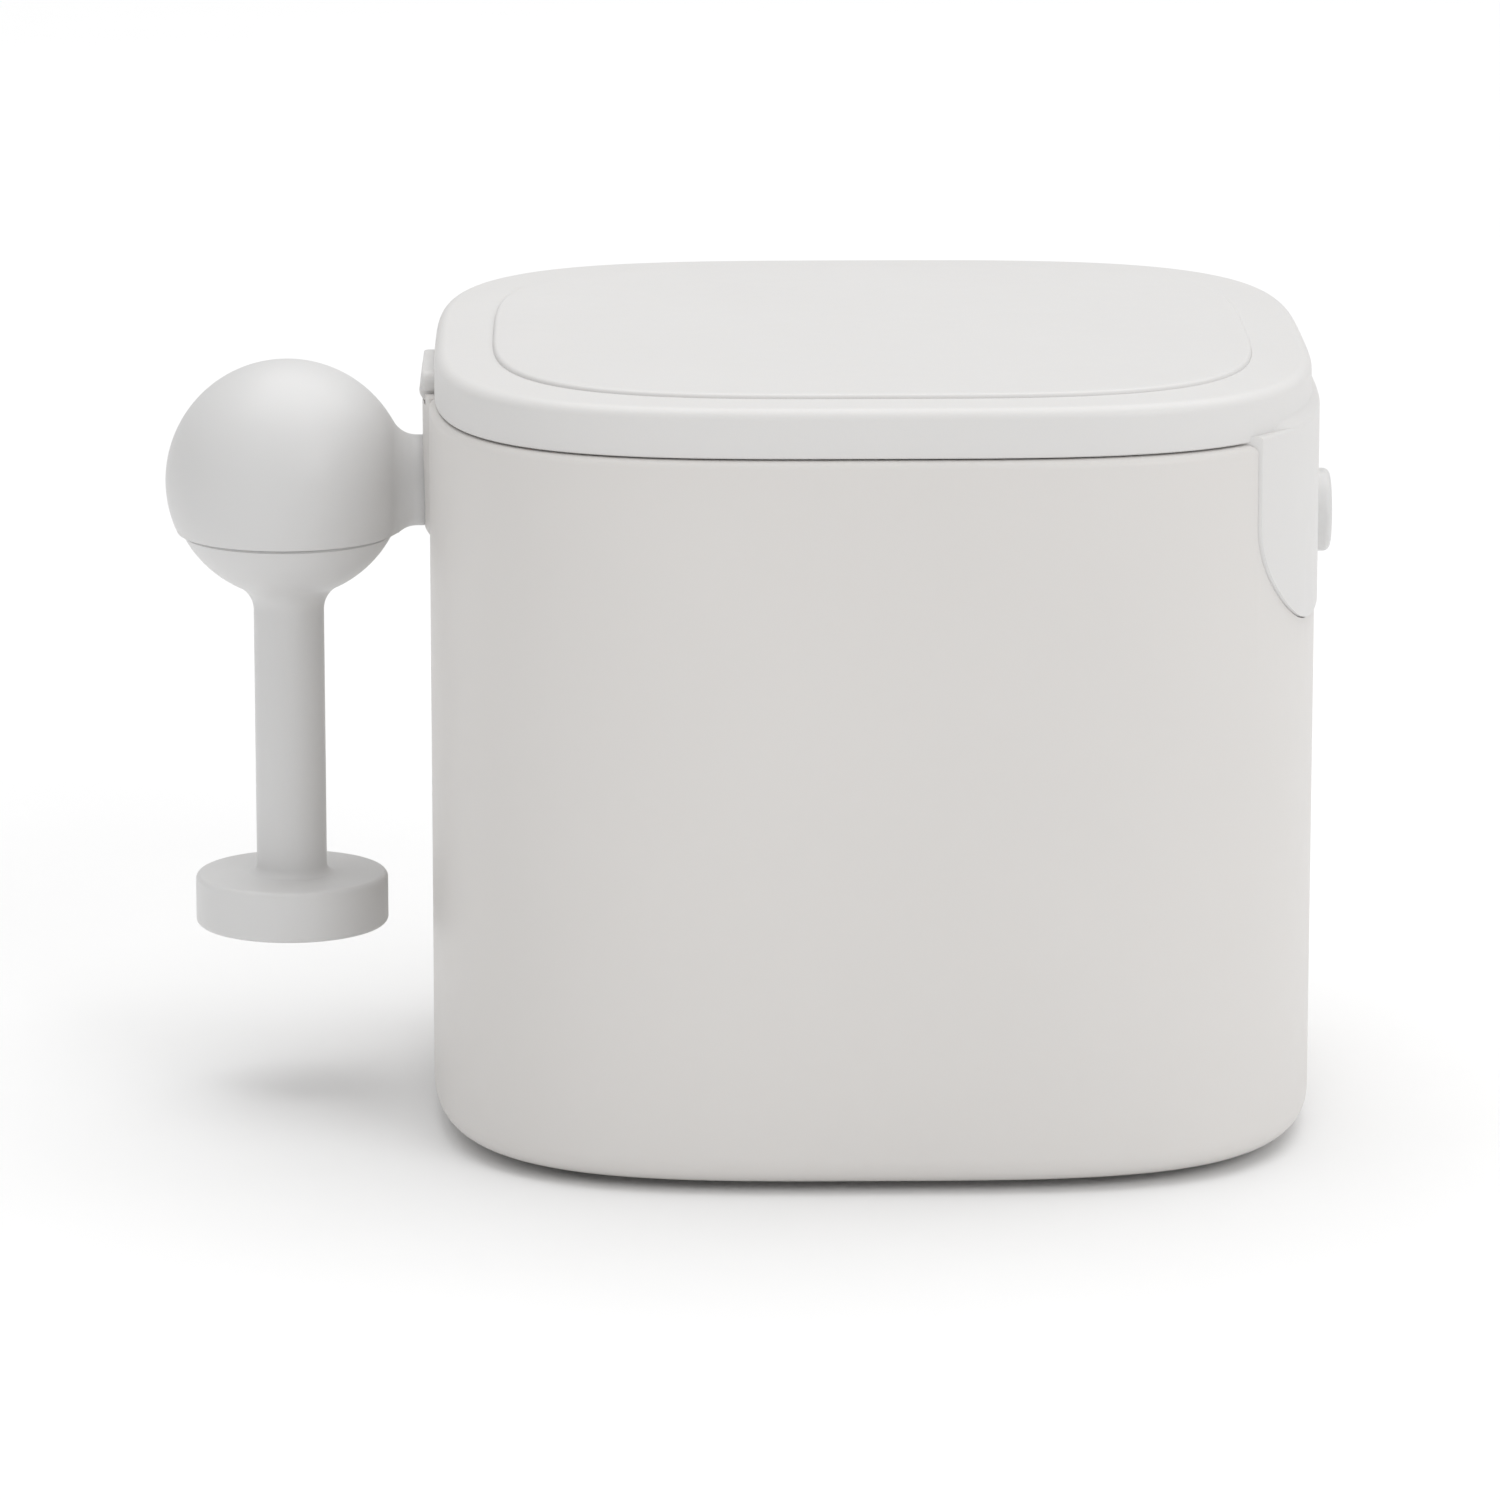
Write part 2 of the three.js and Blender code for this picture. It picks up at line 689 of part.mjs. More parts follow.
function crankHub() {
  const neckSideX = ballX + 10.1;
  const below = solid(box(ballX - 20, neckSideX, -20, 20, 0, seamZ));
  const hub = join(hubBall(), hubNeck()).translate([ballX, 0, crankZ]);
  const shaftHole = roundOnShaft(shaftRadius + GAP, shaftOuterX - 0.4, 0);
  return cut(hub, below, shaftHole, hubPinHole(3.5), studSocket());
}

function hubPin() {
  const halfLength = 3.2;
  const pin = turned(rod(hubPinRadius, crankZ - halfLength, crankZ + halfLength, 0.15), 12);
  return solid(pin.translate(hubPinX, 0, 0));
}

// Lower ball cap, rod and finger disc, with the stud that turns inside the ball.
function crankArm() {
  const capTop = seamZ - GAP;
  const capTopRadius = Math.sqrt(capRadius ** 2 - (crankZ - capTop) ** 2);
  const startAngle = THREE.MathUtils.radToDeg(Math.atan2(capTop - crankZ, capTopRadius));
  const filletRadius = 2.6;
  const centreR = rodRadius + filletRadius;
  const centreZ = crankZ - Math.sqrt((capRadius + filletRadius) ** 2 - centreR ** 2);
  const capAngle = THREE.MathUtils.radToDeg(Math.atan2(centreZ - crankZ, centreR));
  const edge = 0.55;
  const rootRadius = 0.8;
  const studTop = seamZ + 8;
  const ringGrooveRadius = 2.2;
  const ringGrooveZ = [seamZ + 4.7, seamZ + 5.9];
  const profile = [
    [0, studTop],
    [studRadius - 0.4, studTop],
    [studRadius, studTop - 0.4],
    [studRadius, ringGrooveZ[1]],
    [ringGrooveRadius, ringGrooveZ[1]],
    [ringGrooveRadius, ringGrooveZ[0]],
    [studRadius, ringGrooveZ[0]],
    [studRadius, capTop],
    ...arc(0, crankZ, capRadius, startAngle, capAngle, 5),
    ...arc(centreR, centreZ, filletRadius, 180 + capAngle, 180, 4).slice(1),
    ...arc(rodRadius + rootRadius, discTopZ + rootRadius, rootRadius, 180, 270, 2),
    ...arc(discRadius - edge, discTopZ - edge, edge, 90, 0, 2),
    ...arc(discRadius - edge, discBottomZ + edge, edge, 0, -90, 2),
    [0, discBottomZ],
  ];
  return solid(turned(profile, 32)).translate([ballX, 0, 0]);
}

// Split ring that keeps the arm's stud in the ball.
function armSnapRing() {
  const ring = roundZ(3.7, seamZ + 4.95, seamZ + 5.65, 24);
  const bore = roundZ(2.45, 0, FAR + crankZ, 24);
  const split = solid(box(0, 6, -0.7, 0.7, 0, FAR + crankZ));
  return cut(ring, bore, split).translate([ballX, 0, 0]);
}

// ---------------------------------------------------------------- lid and latch

// Ear on the lid's left wall that covers the hinge.
function hingeEar() {
  const cornerRadius = 1;
  const edge = 0.4;
  const outline = new THREE.Shape();
  outline.moveTo(-hingeHalfLength, lidBottomZ);
  outline.lineTo(hingeHalfLength, lidBottomZ);
  outline.lineTo(hingeHalfLength, earTopZ - cornerRadius);
  outline.absarc(hingeHalfLength - cornerRadius, earTopZ - cornerRadius, cornerRadius, 0, 0.5 * Math.PI);
  outline.absarc(-hingeHalfLength + cornerRadius, earTopZ - cornerRadius, cornerRadius,
    0.5 * Math.PI, Math.PI);
  outline.closePath();
  return solid(alongX(prism(outline, earX, earX + 3, edge, 2, 6)));
}

// Outline of the lid's wall where the tongue's shoulder swells out of it, at a share of its full size.
function shoulderOutline(share) {
  const inset = 0.4;
  const proud = casingHalf + tongueProud - lidHalf - 0.05;
  return plan(lidHalf).getPoints().slice(0, PLAN_STEPS).map(({ x, y }) => {
    const along = THREE.MathUtils.smoothstep(tongueHalfWidth - Math.abs(y), 0, shoulderFadeWidth);
    const onRight = x > 0 ? along : 0;
    const growth = 1 + (onRight * (inset + share * proud) - inset) / lidHalf;
    return new THREE.Vector2(x * growth, y * growth);
  });
}

function tongueShoulder() {
  const heightSteps = [0, 0.25, 0.5, 0.75, 1];
  const levels = heightSteps.map((t) => (
    [shoulderOutline((1 + Math.cos(Math.PI * t)) / 2), shoulderLowZ + t * (shoulderHighZ - shoulderLowZ)]));
  return solid(skin([[shoulderOutline(1), lidBottomZ], ...levels]));
}

function gasketGroove() {
  const topZ = lidBottomZ + gasketGrooveDepth;
  const outer = solid(prism(plan(38.4, 38.7), FAR, topZ));
  return outer.subtract(solid(prism(plan(36.8, 37.5), FAR - 1, topZ + 1)));
}

function lidShell() {
  const block = solid(prism(plan(lidHalf), lidBottomZ - lidEdgeRadius, lidTopZ, lidEdgeRadius));
  const below = solid(box(-FAR, FAR, -FAR, FAR, 40, lidBottomZ));
  const rim = cut(join(block, tongueShoulder(), hingeEar()), below, gasketGroove());
  const spigotBottomZ = 64.4;
  const spigot = solid(prism(plan(mouthHalfX - 0.5, mouthHalfY - 0.5), spigotBottomZ, lidBottomZ + 1));
  const pocket = solid(prism(plan(mouthHalfX - 2.5, mouthHalfY - 2.5), FAR, pocketTopZ));
  const panelSeat = solid(prism(plan(panelHalf + 0.15), panelSeatZ, lidTopZ + 5));
  const barrels = hingeBarrel(knuckleRadius, -hingeHalfLength, hingeHalfLength);
  const roomHalfLength = knuckleHalfLength + GAP;
  const knuckleRoom = hingeBarrel(knuckleRadius + GAP, -roomHalfLength, roomHalfLength);
  const lid = cut(join(rim, spigot, barrels), pocket, panelSeat, knuckleRoom, hingePinHole());
  return join(lid, latchTongue());
}

// Round tool along X at the height of the button.
function roundOnButton(radius, x0, x1) {
  return solid(turnedAlongX(plainRod(radius, x0, x1), 32).translate(0, 0, buttonZ));
}

// Catch ribs behind the tongue, one on each side of the button.
function catchRibs() {
  return sides.map((side) => {
    const [y0, y1] = catchRibY.map((y) => side * y).sort((a, b) => a - b);
    return solid(box(catchRibX, 39, y0, y1, catchRibZ[0], catchRibZ[1]));
  });
}

// Tongue that hangs from the lid's right side, flush in its recess in the casing.
function latchTongue() {
  const skinX = casingHalf + tongueProud;
  const skinY = casingHalf + 0.1;
  const topZ = lidBottomZ + 0.35;
  const outside = solid(prism(plan(skinX, skinY), 40, topZ, 0.3, 2));
  const inside = solid(prism(plan(tongueInnerX, casingHalf - tongueThickness), 30, lidBottomZ));
  const lidCore = solid(prism(plan(lidHalf - 1), lidBottomZ, lidBottomZ + 5));
  const sheet = cut(outside, inside, lidCore).intersect(tonguePrism(0, 10, FAR));
  const boss = roundOnButton(latchBossRadius, latchBossX, 39.5).intersect(tonguePrism(0, 10, FAR));
  const chamber = roundOnButton(chamberRadius, 30, flangeX + flangeThickness + GAP);
  const hole = roundOnButton(buttonRadius + 0.15, 30, 50);
  return cut(join(sheet, boss, ...catchRibs()), chamber, hole);
}

function lidPanel() {
  const edge = 0.35;
  const block = solid(prism(plan(panelHalf), panelSeatZ - edge, lidTopZ + panelRise, edge, 3));
  return block.subtract(solid(box(-FAR, FAR, -FAR, FAR, FAR, panelSeatZ)));
}

function lidGasket() {
  const proud = 0.12;
  const ring = solid(prism(plan(38.1, 38.4), lidBottomZ - proud, lidBottomZ + 0.8));
  return ring.subtract(solid(prism(plan(37.1, 37.8), FAR, 80)));
}

function hingePin() {
  const pin = turnedAlongY(rod(hingePinRadius, hingePinFrontY, hingeHalfLength, 0.15), 16);
  return solid(pin.translate(hingeX, 0, hingeZ));
}

// Hollow button with a flange that keeps it in the latch's chamber.
function latchButton() {
  const edge = 0.6;
  const profile = [
    [0, buttonHollowX],
    [buttonHollowRadius, buttonHollowX],
    [buttonHollowRadius, flangeX],
    [flangeRadius, flangeX],
    [flangeRadius, flangeX + flangeThickness],
    [buttonRadius, flangeX + flangeThickness],
    ...arc(buttonRadius - edge, buttonOuterX - edge, edge, 0, 90, 3),
    [0, buttonOuterX],
  ];
  return solid(turnedAlongX(profile, 28).translate(0, 0, buttonZ));
}

// Snap-in disc that closes the latch's chamber. Its face is beyond the end of the button's travel.
function buttonRetainer() {
  const farthestBack = flangeX - buttonTravel - GAP;
  const faceX = Math.min(retainerX + retainerThickness, farthestBack);
  const disc = roundOnButton(4.9, retainerX, faceX);
  return disc.subtract(roundOnButton(1, 30, 40));
}

function buttonSpring() {
  const turns = 3;
  const coilRadius = 2;
  const wireRadius = 0.28;
  const startX = 36.95;
  const length = 3.7;
  class Helix extends THREE.Curve {
    getPoint(t, target = new THREE.Vector3()) {
      const angle = t * turns * 2 * Math.PI;
      const y = coilRadius * Math.cos(angle);
      return target.set(startX + t * length, y, buttonZ + coilRadius * Math.sin(angle));
    }
  }
  const wire = new THREE.Shape();
  wire.absarc(0, 0, wireRadius, 0, 2 * Math.PI);
  const path = { steps: 36, curveSegments: 3, extrudePath: new Helix() };
  return solid(new THREE.ExtrudeGeometry(wire, path));
}

// ---------------------------------------------------------------- assembly

const casing = group(
  piece('body_shell', bodyShell(), casingPlastic),
  piece('base_cover', baseCover(), casingPlastic),
  piece('base_pad', basePad(), softPad),
  ...corners.map(([sx, sy], i) => piece(`base_screw_${i + 1}`, baseScrew(sx, sy), steel)),
  piece('hinge_pin', hingePin(), steel),
);

const crusher = group(
  piece('crusher_housing', crusherHousing(), innerPlastic),
  ...sides.map((side, i) => piece(`deck_screw_${i + 1}`, deckScrew(side), steel)),
  piece('fixed_jaw', fixedJaw(), steel),
  ...jawScrewX.map((x, i) => piece(`jaw_screw_${i + 1}`, jawScrew(x), steel)),
  piece('outer_bush', outerBush(), innerPlastic),
  piece('inner_bush', innerBush(), innerPlastic),
  piece('powder_cup', powderCup(), clearPlastic),
);

const crank = group(
  piece('drive_shaft', driveShaft(), steel),
  piece('crush_drum', crushDrum(), steel),
  piece('drum_pin', drumPin(), steel),
  piece('shaft_clip', shaftClip(), steel),
  piece('crank_hub', crankHub(), crankPlastic),
  piece('hub_pin', hubPin(), steel),
);

const arm = group(
  piece('crank_arm', crankArm(), crankPlastic),
  piece('arm_snap_ring', armSnapRing(), steel),
);

const lid = group(
  piece('lid_shell', lidShell(), lidPlastic),
  piece('lid_panel', lidPanel(), lidPlastic),
  piece('lid_gasket', lidGasket(), silicone),
);

const latch = group(
  piece('latch_button', latchButton(), crankPlastic),
  piece('button_retainer', buttonRetainer(), innerPlastic),
  piece('button_spring', buttonSpring(), steel),
);

export default group(casing, crusher, crank, arm, lid, latch);
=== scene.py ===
"""Looks for the hand-cranked pill crusher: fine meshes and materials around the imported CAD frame.

Shapes are written in millimetres in the CAD's own frame and scaled to metres as they are made.
"""
import json
import math

import bmesh
import bpy
from mathutils import Matrix, Vector


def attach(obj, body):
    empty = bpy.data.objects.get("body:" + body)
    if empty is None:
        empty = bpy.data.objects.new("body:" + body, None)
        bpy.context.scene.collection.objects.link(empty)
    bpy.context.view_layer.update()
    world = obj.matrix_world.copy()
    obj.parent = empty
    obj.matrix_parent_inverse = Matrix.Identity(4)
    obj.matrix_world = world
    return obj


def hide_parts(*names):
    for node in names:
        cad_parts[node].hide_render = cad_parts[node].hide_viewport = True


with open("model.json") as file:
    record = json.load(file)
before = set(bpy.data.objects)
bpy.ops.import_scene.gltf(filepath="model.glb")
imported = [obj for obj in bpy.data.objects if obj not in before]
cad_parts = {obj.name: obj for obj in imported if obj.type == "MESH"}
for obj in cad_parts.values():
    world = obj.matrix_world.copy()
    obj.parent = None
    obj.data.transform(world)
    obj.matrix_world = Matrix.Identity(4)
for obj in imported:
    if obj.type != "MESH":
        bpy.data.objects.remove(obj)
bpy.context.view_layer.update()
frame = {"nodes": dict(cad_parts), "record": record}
MM = 0.001

# ------------------------------------------------------------------ dimensions, in millimetres

GAP = 0.3
PLAN_EXPONENT = 3.5
PLAN_COUNT = 224

PAD_HALF = 28.0
PAD_THICKNESS = 0.8
CASING_HALF = 40.0
RIM_Z = 66.0
FOOT_RADIUS = 2.6
SHOULDER_RADIUS = 0.8
MOUTH_HALF = (36.0, 37.2)

LID_HALF = 39.5
LID_BOTTOM_Z = RIM_Z + GAP
LID_LIP_Z = RIM_Z + 0.15
LID_TOP_Z = 70.5
LID_EDGE_RADIUS = 1.1
LIP_CHAMFER = 0.12
SEAL_GROOVE_OUTER = (38.4, 38.7)
SEAL_GROOVE_INNER = (36.8, 37.5)
SEAL_GROOVE_TOP_Z = LID_BOTTOM_Z + 0.9
SPIGOT_BOTTOM_Z = 64.4
SPIGOT_OUTER_INSET = 0.5
SPIGOT_INNER_INSET = 2.5
POCKET_TOP_Z = LID_TOP_Z - 2.2
POCKET_CHAMFER = 1.0
PANEL_HALF = 34.2
PANEL_RISE = 0.4
SEAT_DEPTH = 0.9

CRANK_Z = 56.8
SHAFT_RADIUS = 3.0
BALL_X = -53.1
BALL_RADIUS = 11.1
CAP_RADIUS = 10.75
SEAM_Z = CRANK_Z - 4.6
NECK_RADIUS = 4.15
NECK_FILLET = 2.4
NECK_END_X = -39.8
ROD_RADIUS = 3.22
DISC_RADIUS = 8.85
DISC_TOP_Z = 20.1
DISC_BOTTOM_Z = 15.35

BOSS_PROUD = 0.7
BOSS_HALF_WIDTH = 9.0
BOSS_BOTTOM_Z = 51.6

BEARING_OUTER_X = -39.2
BEARING_RADIUS = 4.9

STUD_RADIUS = 2.9
STUD_CLEARANCE = 0.35

TONGUE_HALF_WIDTH = 32.4
TONGUE_BOTTOM_Z = 48.7
TONGUE_CORNER_RADIUS = 10.0
TONGUE_PROUD = 0.25
TONGUE_THICKNESS = 1.65
TONGUE_TOP_Z = LID_BOTTOM_Z + 0.35
RECESS_DEPTH = 1.7
SHOULDER_LOW_Z = LID_BOTTOM_Z + 0.2
SHOULDER_HIGH_Z = 67.7
SHOULDER_FADE_WIDTH = 6.0
SEAM = 0.1

BUTTON_Z = 53.8
BUTTON_RADIUS = 3.8
BUTTON_OUTER_X = 42.15
FLANGE_RADIUS = 4.25
FLANGE_X = (38.2, 38.9)
CHAMBER_RADIUS = 4.45
LATCH_BOSS_RADIUS = 5.9
LATCH_BOSS_X = 36.9
CATCH_RIB_Y = (7.0, 12.0)
CATCH_RIB_X = 37.95
CATCH_RIB_Z = (50.0, 51.0)
CATCH_HEADROOM = 1.9

HINGE_X = -39.6
HINGE_Z = RIM_Z + GAP
KNUCKLE_RADIUS = 1.25
HINGE_HALF_LENGTH = 6.4
KNUCKLE_HALF_LENGTH = 2.4
PIN_BORE = 0.7
PIN_FRONT_Y = -5.5
EAR_X = -40.65
EAR_TOP_Z = 67.9

COVER_TOP_Z = 3.2
POST_XY = 26.5
POST_RADIUS = 3.4
POST_TOP_Z = 17.0
POST_PILOT_RADIUS = 1.6
RIB_LENGTH = 6
RIB_HALF_WIDTH = 1.2
DECK_TOP_Z = 63.5
DECK_THICKNESS = 2.0
DECK_SCREW = (24.0, -31.0)
DECK_POST_RADIUS = 2.5
DECK_PILOT_RADIUS = 1.4
LEDGE_HEIGHT = 3

EDGE_SOFTNESS = 0.12
SIDES = (-1, 1)


# ------------------------------------------------------------------ mesh helpers

def new_object(name, bm):
    """Object from a bmesh in millimetres, with its faces turned outwards."""
    bmesh.ops.remove_doubles(bm, verts=bm.verts, dist=1e-5)
    bmesh.ops.recalc_face_normals(bm, faces=bm.faces)
    bmesh.ops.scale(bm, vec=(MM, MM, MM), verts=bm.verts)
    mesh = bpy.data.meshes.new(name)
    bm.to_mesh(mesh)
    bm.free()
    obj = bpy.data.objects.new(name, mesh)
    bpy.context.scene.collection.objects.link(obj)
    return obj


def plan(half_x, half_y=None, exponent=PLAN_EXPONENT, count=PLAN_COUNT):
    """Superellipse outline, with its points bunched where it bends most."""
    half_y = half_x if half_y is None else half_y
    points = []
    for i in range(count):
        angle = 2 * math.pi * i / count
        c, s = math.cos(angle), math.sin(angle)
        x = half_x * math.copysign(abs(c) ** (2 / exponent), c)
        y = half_y * math.copysign(abs(s) ** (2 / exponent), s)
        points.append((x, y))
    return points


def ring(outline, z):
    return [(x, y, z) for x, y in outline]


def loft(name, rings, closed=False):
    """Surface through rings of equal length: capped at both ends, or closed on itself."""
    bm = bmesh.new()
    rows = [[bm.verts.new(p) for p in points] for points in rings]
    pairs = list(zip(rows, rows[1:]))
    if closed:
        pairs.append((rows[-1], rows[0]))
    for low, high in pairs:
        for i in range(len(low)):
            j = (i + 1) % len(low)
            bm.faces.new((low[i], low[j], high[j], high[i]))
    if not closed:
        bm.faces.new(rows[0][::-1])
        bm.faces.new(rows[-1])
    return new_object(name, bm)


def arc(centre_r, centre_h, radius, start, end, steps):
    """Points of an arc between two angles in degrees, as (radius, height) pairs."""
    points = []
    for i in range(steps + 1):
        angle = math.radians(start + (end - start) * i / steps)
        points.append((centre_r + radius * math.cos(angle), centre_h + radius * math.sin(angle)))
    return points


def turned(name, profile, centre=(0, 0, 0), axis="Z", segments=96):
    """Solid of revolution from (radius, height) points; the first and last lie on the axis."""
    bm = bmesh.new()
    place = {
        "X": lambda r, h, c, s: (h, r * c, r * s),
        "Y": lambda r, h, c, s: (r * s, h, r * c),
        "Z": lambda r, h, c, s: (r * c, r * s, h),
    }[axis]
    rows = []
    for r, h in profile:
        count = 1 if r < 1e-6 else segments
        row = []
        for i in range(count):
            angle = 2 * math.pi * i / segments
            point = Vector(place(r, h, math.cos(angle), math.sin(angle))) + Vector(centre)
            row.append(bm.verts.new(point))
        rows.append(row)
    for low, high in zip(rows, rows[1:]):
        for i in range(segments):
            j = (i + 1) % segments
            corners = [low[i % len(low)], low[j % len(low)], high[j % len(high)], high[i % len(high)]]
            unique = list(dict.fromkeys(corners))
            if len(unique) > 2:
                bm.faces.new(unique)
    return new_object(name, bm)


def rod(radius, start, end, edge=0.0):
    """Profile of a plain rod, with its two rims rounded where edge is given."""
    if edge == 0:
        return [(0, start), (radius, start), (radius, end), (0, end)]
    low = arc(radius - edge, start + edge, edge, -90, 0, 4)
    high = arc(radius - edge, end - edge, edge, 0, 90, 4)
    return [(0, start), *low, *high, (0, end)]


def block(name, x, y, z):
    """Plain box between pairs of coordinates, used for cutting."""
    outline = [(x[0], y[0]), (x[1], y[0]), (x[1], y[1]), (x[0], y[1])]
    return loft(name, [ring(outline, z[0]), ring(outline, z[1])])


def prism_x(name, outline, x0, x1):
    """Prism along X from an outline of (y, z) points."""
    return loft(name, [[(x, y, z) for y, z in outline] for x in (x0, x1)])


def combine(target, tool, operation):
    """Boolean of target with tool, applied. The tool is used up."""
    modifier = target.modifiers.new("boolean", "BOOLEAN")
    modifier.operation = operation
    modifier.solver = "EXACT"
    modifier.object = tool
    apply_modifiers(target)
    bpy.data.objects.remove(tool)
    return target


def cut(target, *tools):
    for tool in tools:
        combine(target, tool, "DIFFERENCE")
    return target


def join(target, *tools):
    for tool in tools:
        combine(target, tool, "UNION")
    return target


def apply_modifiers(obj):
    depsgraph = bpy.context.evaluated_depsgraph_get()
    depsgraph.update()
    mesh = bpy.data.meshes.new_from_object(obj.evaluated_get(depsgraph))
    obj.modifiers.clear()
    old = obj.data
    obj.data = mesh
    mesh.name = obj.name
    bpy.data.meshes.remove(old)


def soften(obj, width, segments=3, angle=35):
    """Rounds the sharp edges of a finished piece."""
    bm = bmesh.new()
    bm.from_mesh(obj.data)
    bmesh.ops.remove_doubles(bm, verts=bm.verts, dist=2e-6)
    bmesh.ops.dissolve_degenerate(bm, edges=bm.edges, dist=2e-6)
    bm.to_mesh(obj.data)
    bm.free()
    modifier = obj.modifiers.new("soften", "BEVEL")
    modifier.width = width * MM
    modifier.segments = segments
    modifier.limit_method = "ANGLE"
    modifier.angle_limit = math.radians(angle)
    modifier.use_clamp_overlap = True
    apply_modifiers(obj)
    return obj


def shade(obj, angle=38):
    """Smooth shading, with edges sharper than the angle kept crisp."""
    bm = bmesh.new()
    bm.from_mesh(obj.data)
    limit = math.radians(angle)
    for face in bm.faces:
        face.smooth = True
    for edge in bm.edges:
        edge.smooth = len(edge.link_faces) == 2 and edge.calc_face_angle(0) < limit
    bm.to_mesh(obj.data)
    bm.free()
    return obj


def dress(obj, material, body, slot, *nodes):
    """Finishes a piece: shading, material, the body that it rides on and the nodes that it replaces."""
    shade(obj)
    obj.data.materials.clear()
    obj.data.materials.append(material)
    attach(obj, body)
    if nodes:
        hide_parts(*nodes)
    return obj


# ------------------------------------------------------------------ materials

def principled(name, color, roughness, metallic=0.0):
    """Material with a Principled shader; returns it with its node tree and shader node."""
    material = bpy.data.materials.new(name)
    material.use_nodes = True
    tree = material.node_tree
    shader = tree.nodes["Principled BSDF"]
    shader.inputs["Base Color"].default_value = (*color, 1)
    shader.inputs["Roughness"].default_value = roughness
    shader.inputs["Metallic"].default_value = metallic
    return material, tree, shader


def noise(tree, scale, detail=3.0, stretch=(1, 1, 1)):
    """Noise over the object's own coordinates; scale is per metre."""
    coordinates = tree.nodes.new("ShaderNodeTexCoord")
    mapping = tree.nodes.new("ShaderNodeMapping")
    mapping.inputs["Scale"].default_value = stretch
    texture = tree.nodes.new("ShaderNodeTexNoise")
    texture.inputs["Scale"].default_value = scale
    texture.inputs["Detail"].default_value = detail
    tree.links.new(coordinates.outputs["Object"], mapping.inputs["Vector"])
    tree.links.new(mapping.outputs["Vector"], texture.inputs["Vector"])
    return texture.outputs["Fac"]


def remap(tree, value, low, high):
    """Value from 0 to 1, mapped to the range from low to high."""
    node = tree.nodes.new("ShaderNodeMapRange")
    node.inputs["To Min"].default_value = low
    node.inputs["To Max"].default_value = high
    tree.links.new(value, node.inputs["Value"])
    return node.outputs["Result"]


def mix_colors(tree, factor, first, second):
    """Colour between two, by a factor from 0 to 1."""
    node = tree.nodes.new("ShaderNodeMix")
    node.data_type = "RGBA"
    node.inputs["A"].default_value = (*first, 1)
    node.inputs["B"].default_value = (*second, 1)
    tree.links.new(factor, node.inputs["Factor"])
    return node.outputs["Result"]


def bump(tree, shader, layers):
    """Chains bump layers of (height, distance in mm, strength) into the shader's normal."""
    previous = None
    for height, distance, strength in layers:
        node = tree.nodes.new("ShaderNodeBump")
        node.inputs["Distance"].default_value = distance * MM
        node.inputs["Strength"].default_value = strength
        tree.links.new(height, node.inputs["Height"])
        if previous is not None:
            tree.links.new(previous, node.inputs["Normal"])
        previous = node.outputs["Normal"]
    tree.links.new(previous, shader.inputs["Normal"])


def moulded_plastic(name, color, shadow_color, roughness, grain=0.012, subsurface=0.04):
    """Satin moulded plastic: fine spark-eroded grain, faint sink marks and uneven sheen."""
    material, tree, shader = principled(name, color, roughness)
    clouds = noise(tree, 55, 4)
    tree.links.new(mix_colors(tree, clouds, color, shadow_color), shader.inputs["Base Color"])
    sheen = noise(tree, 420, 5)
    tree.links.new(remap(tree, sheen, roughness - 0.07, roughness + 0.09), shader.inputs["Roughness"])
    shader.inputs["IOR"].default_value = 1.5
    shader.inputs["Subsurface Weight"].default_value = subsurface
    shader.inputs["Subsurface Radius"].default_value = (0.0012, 0.001, 0.0008)
    shader.inputs["Subsurface Scale"].default_value = 1.0
    fine = noise(tree, 5200, 2)
    waves = noise(tree, 70, 1)
    bump(tree, shader, [(waves, 0.02, 0.15), (fine, grain, 0.3)])
    return material


def turned_steel(name, color, roughness, axis="X"):
    """Turned steel with fine tool lines across its axis."""
    material, tree, shader = principled(name, color, roughness, 1.0)
    stretch = {"X": (1, 0.04, 0.04), "Y": (0.04, 1, 0.04), "Z": (0.04, 0.04, 1)}[axis]
    lines = noise(tree, 9000, 2, stretch)
    smudges = noise(tree, 300, 4)
    tree.links.new(remap(tree, smudges, roughness - 0.08, roughness + 0.12), shader.inputs["Roughness"])
    darker = tuple(0.82 * c for c in color)
    tree.links.new(mix_colors(tree, smudges, color, darker), shader.inputs["Base Color"])
    bump(tree, shader, [(lines, 0.01, 0.4)])
    return material


def soft_rubber(name, color, roughness):
    """Matt speckled rubber."""
    material, tree, shader = principled(name, color, roughness)
    speckle = noise(tree, 900, 5)
    lighter = tuple(min(1, 1.18 * c) for c in color)
    tree.links.new(mix_colors(tree, speckle, color, lighter), shader.inputs["Base Color"])
    tree.links.new(remap(tree, speckle, roughness - 0.08, roughness + 0.08), shader.inputs["Roughness"])
    fine = noise(tree, 3800, 3)
    bump(tree, shader, [(fine, 0.03, 0.6)])
    return material


def clear_plastic(name):
    """Frosted, slightly milky polypropylene for the powder cup."""
    material, tree, shader = principled(name, (0.86, 0.9, 0.92), 0.3)
    frost = noise(tree, 700, 4)
    tree.links.new(remap(tree, frost, 0.22, 0.42), shader.inputs["Roughness"])
    shader.inputs["Transmission Weight"].default_value = 0.45
    shader.inputs["IOR"].default_value = 1.49
    bump(tree, shader, [(frost, 0.02, 0.4)])
    return material


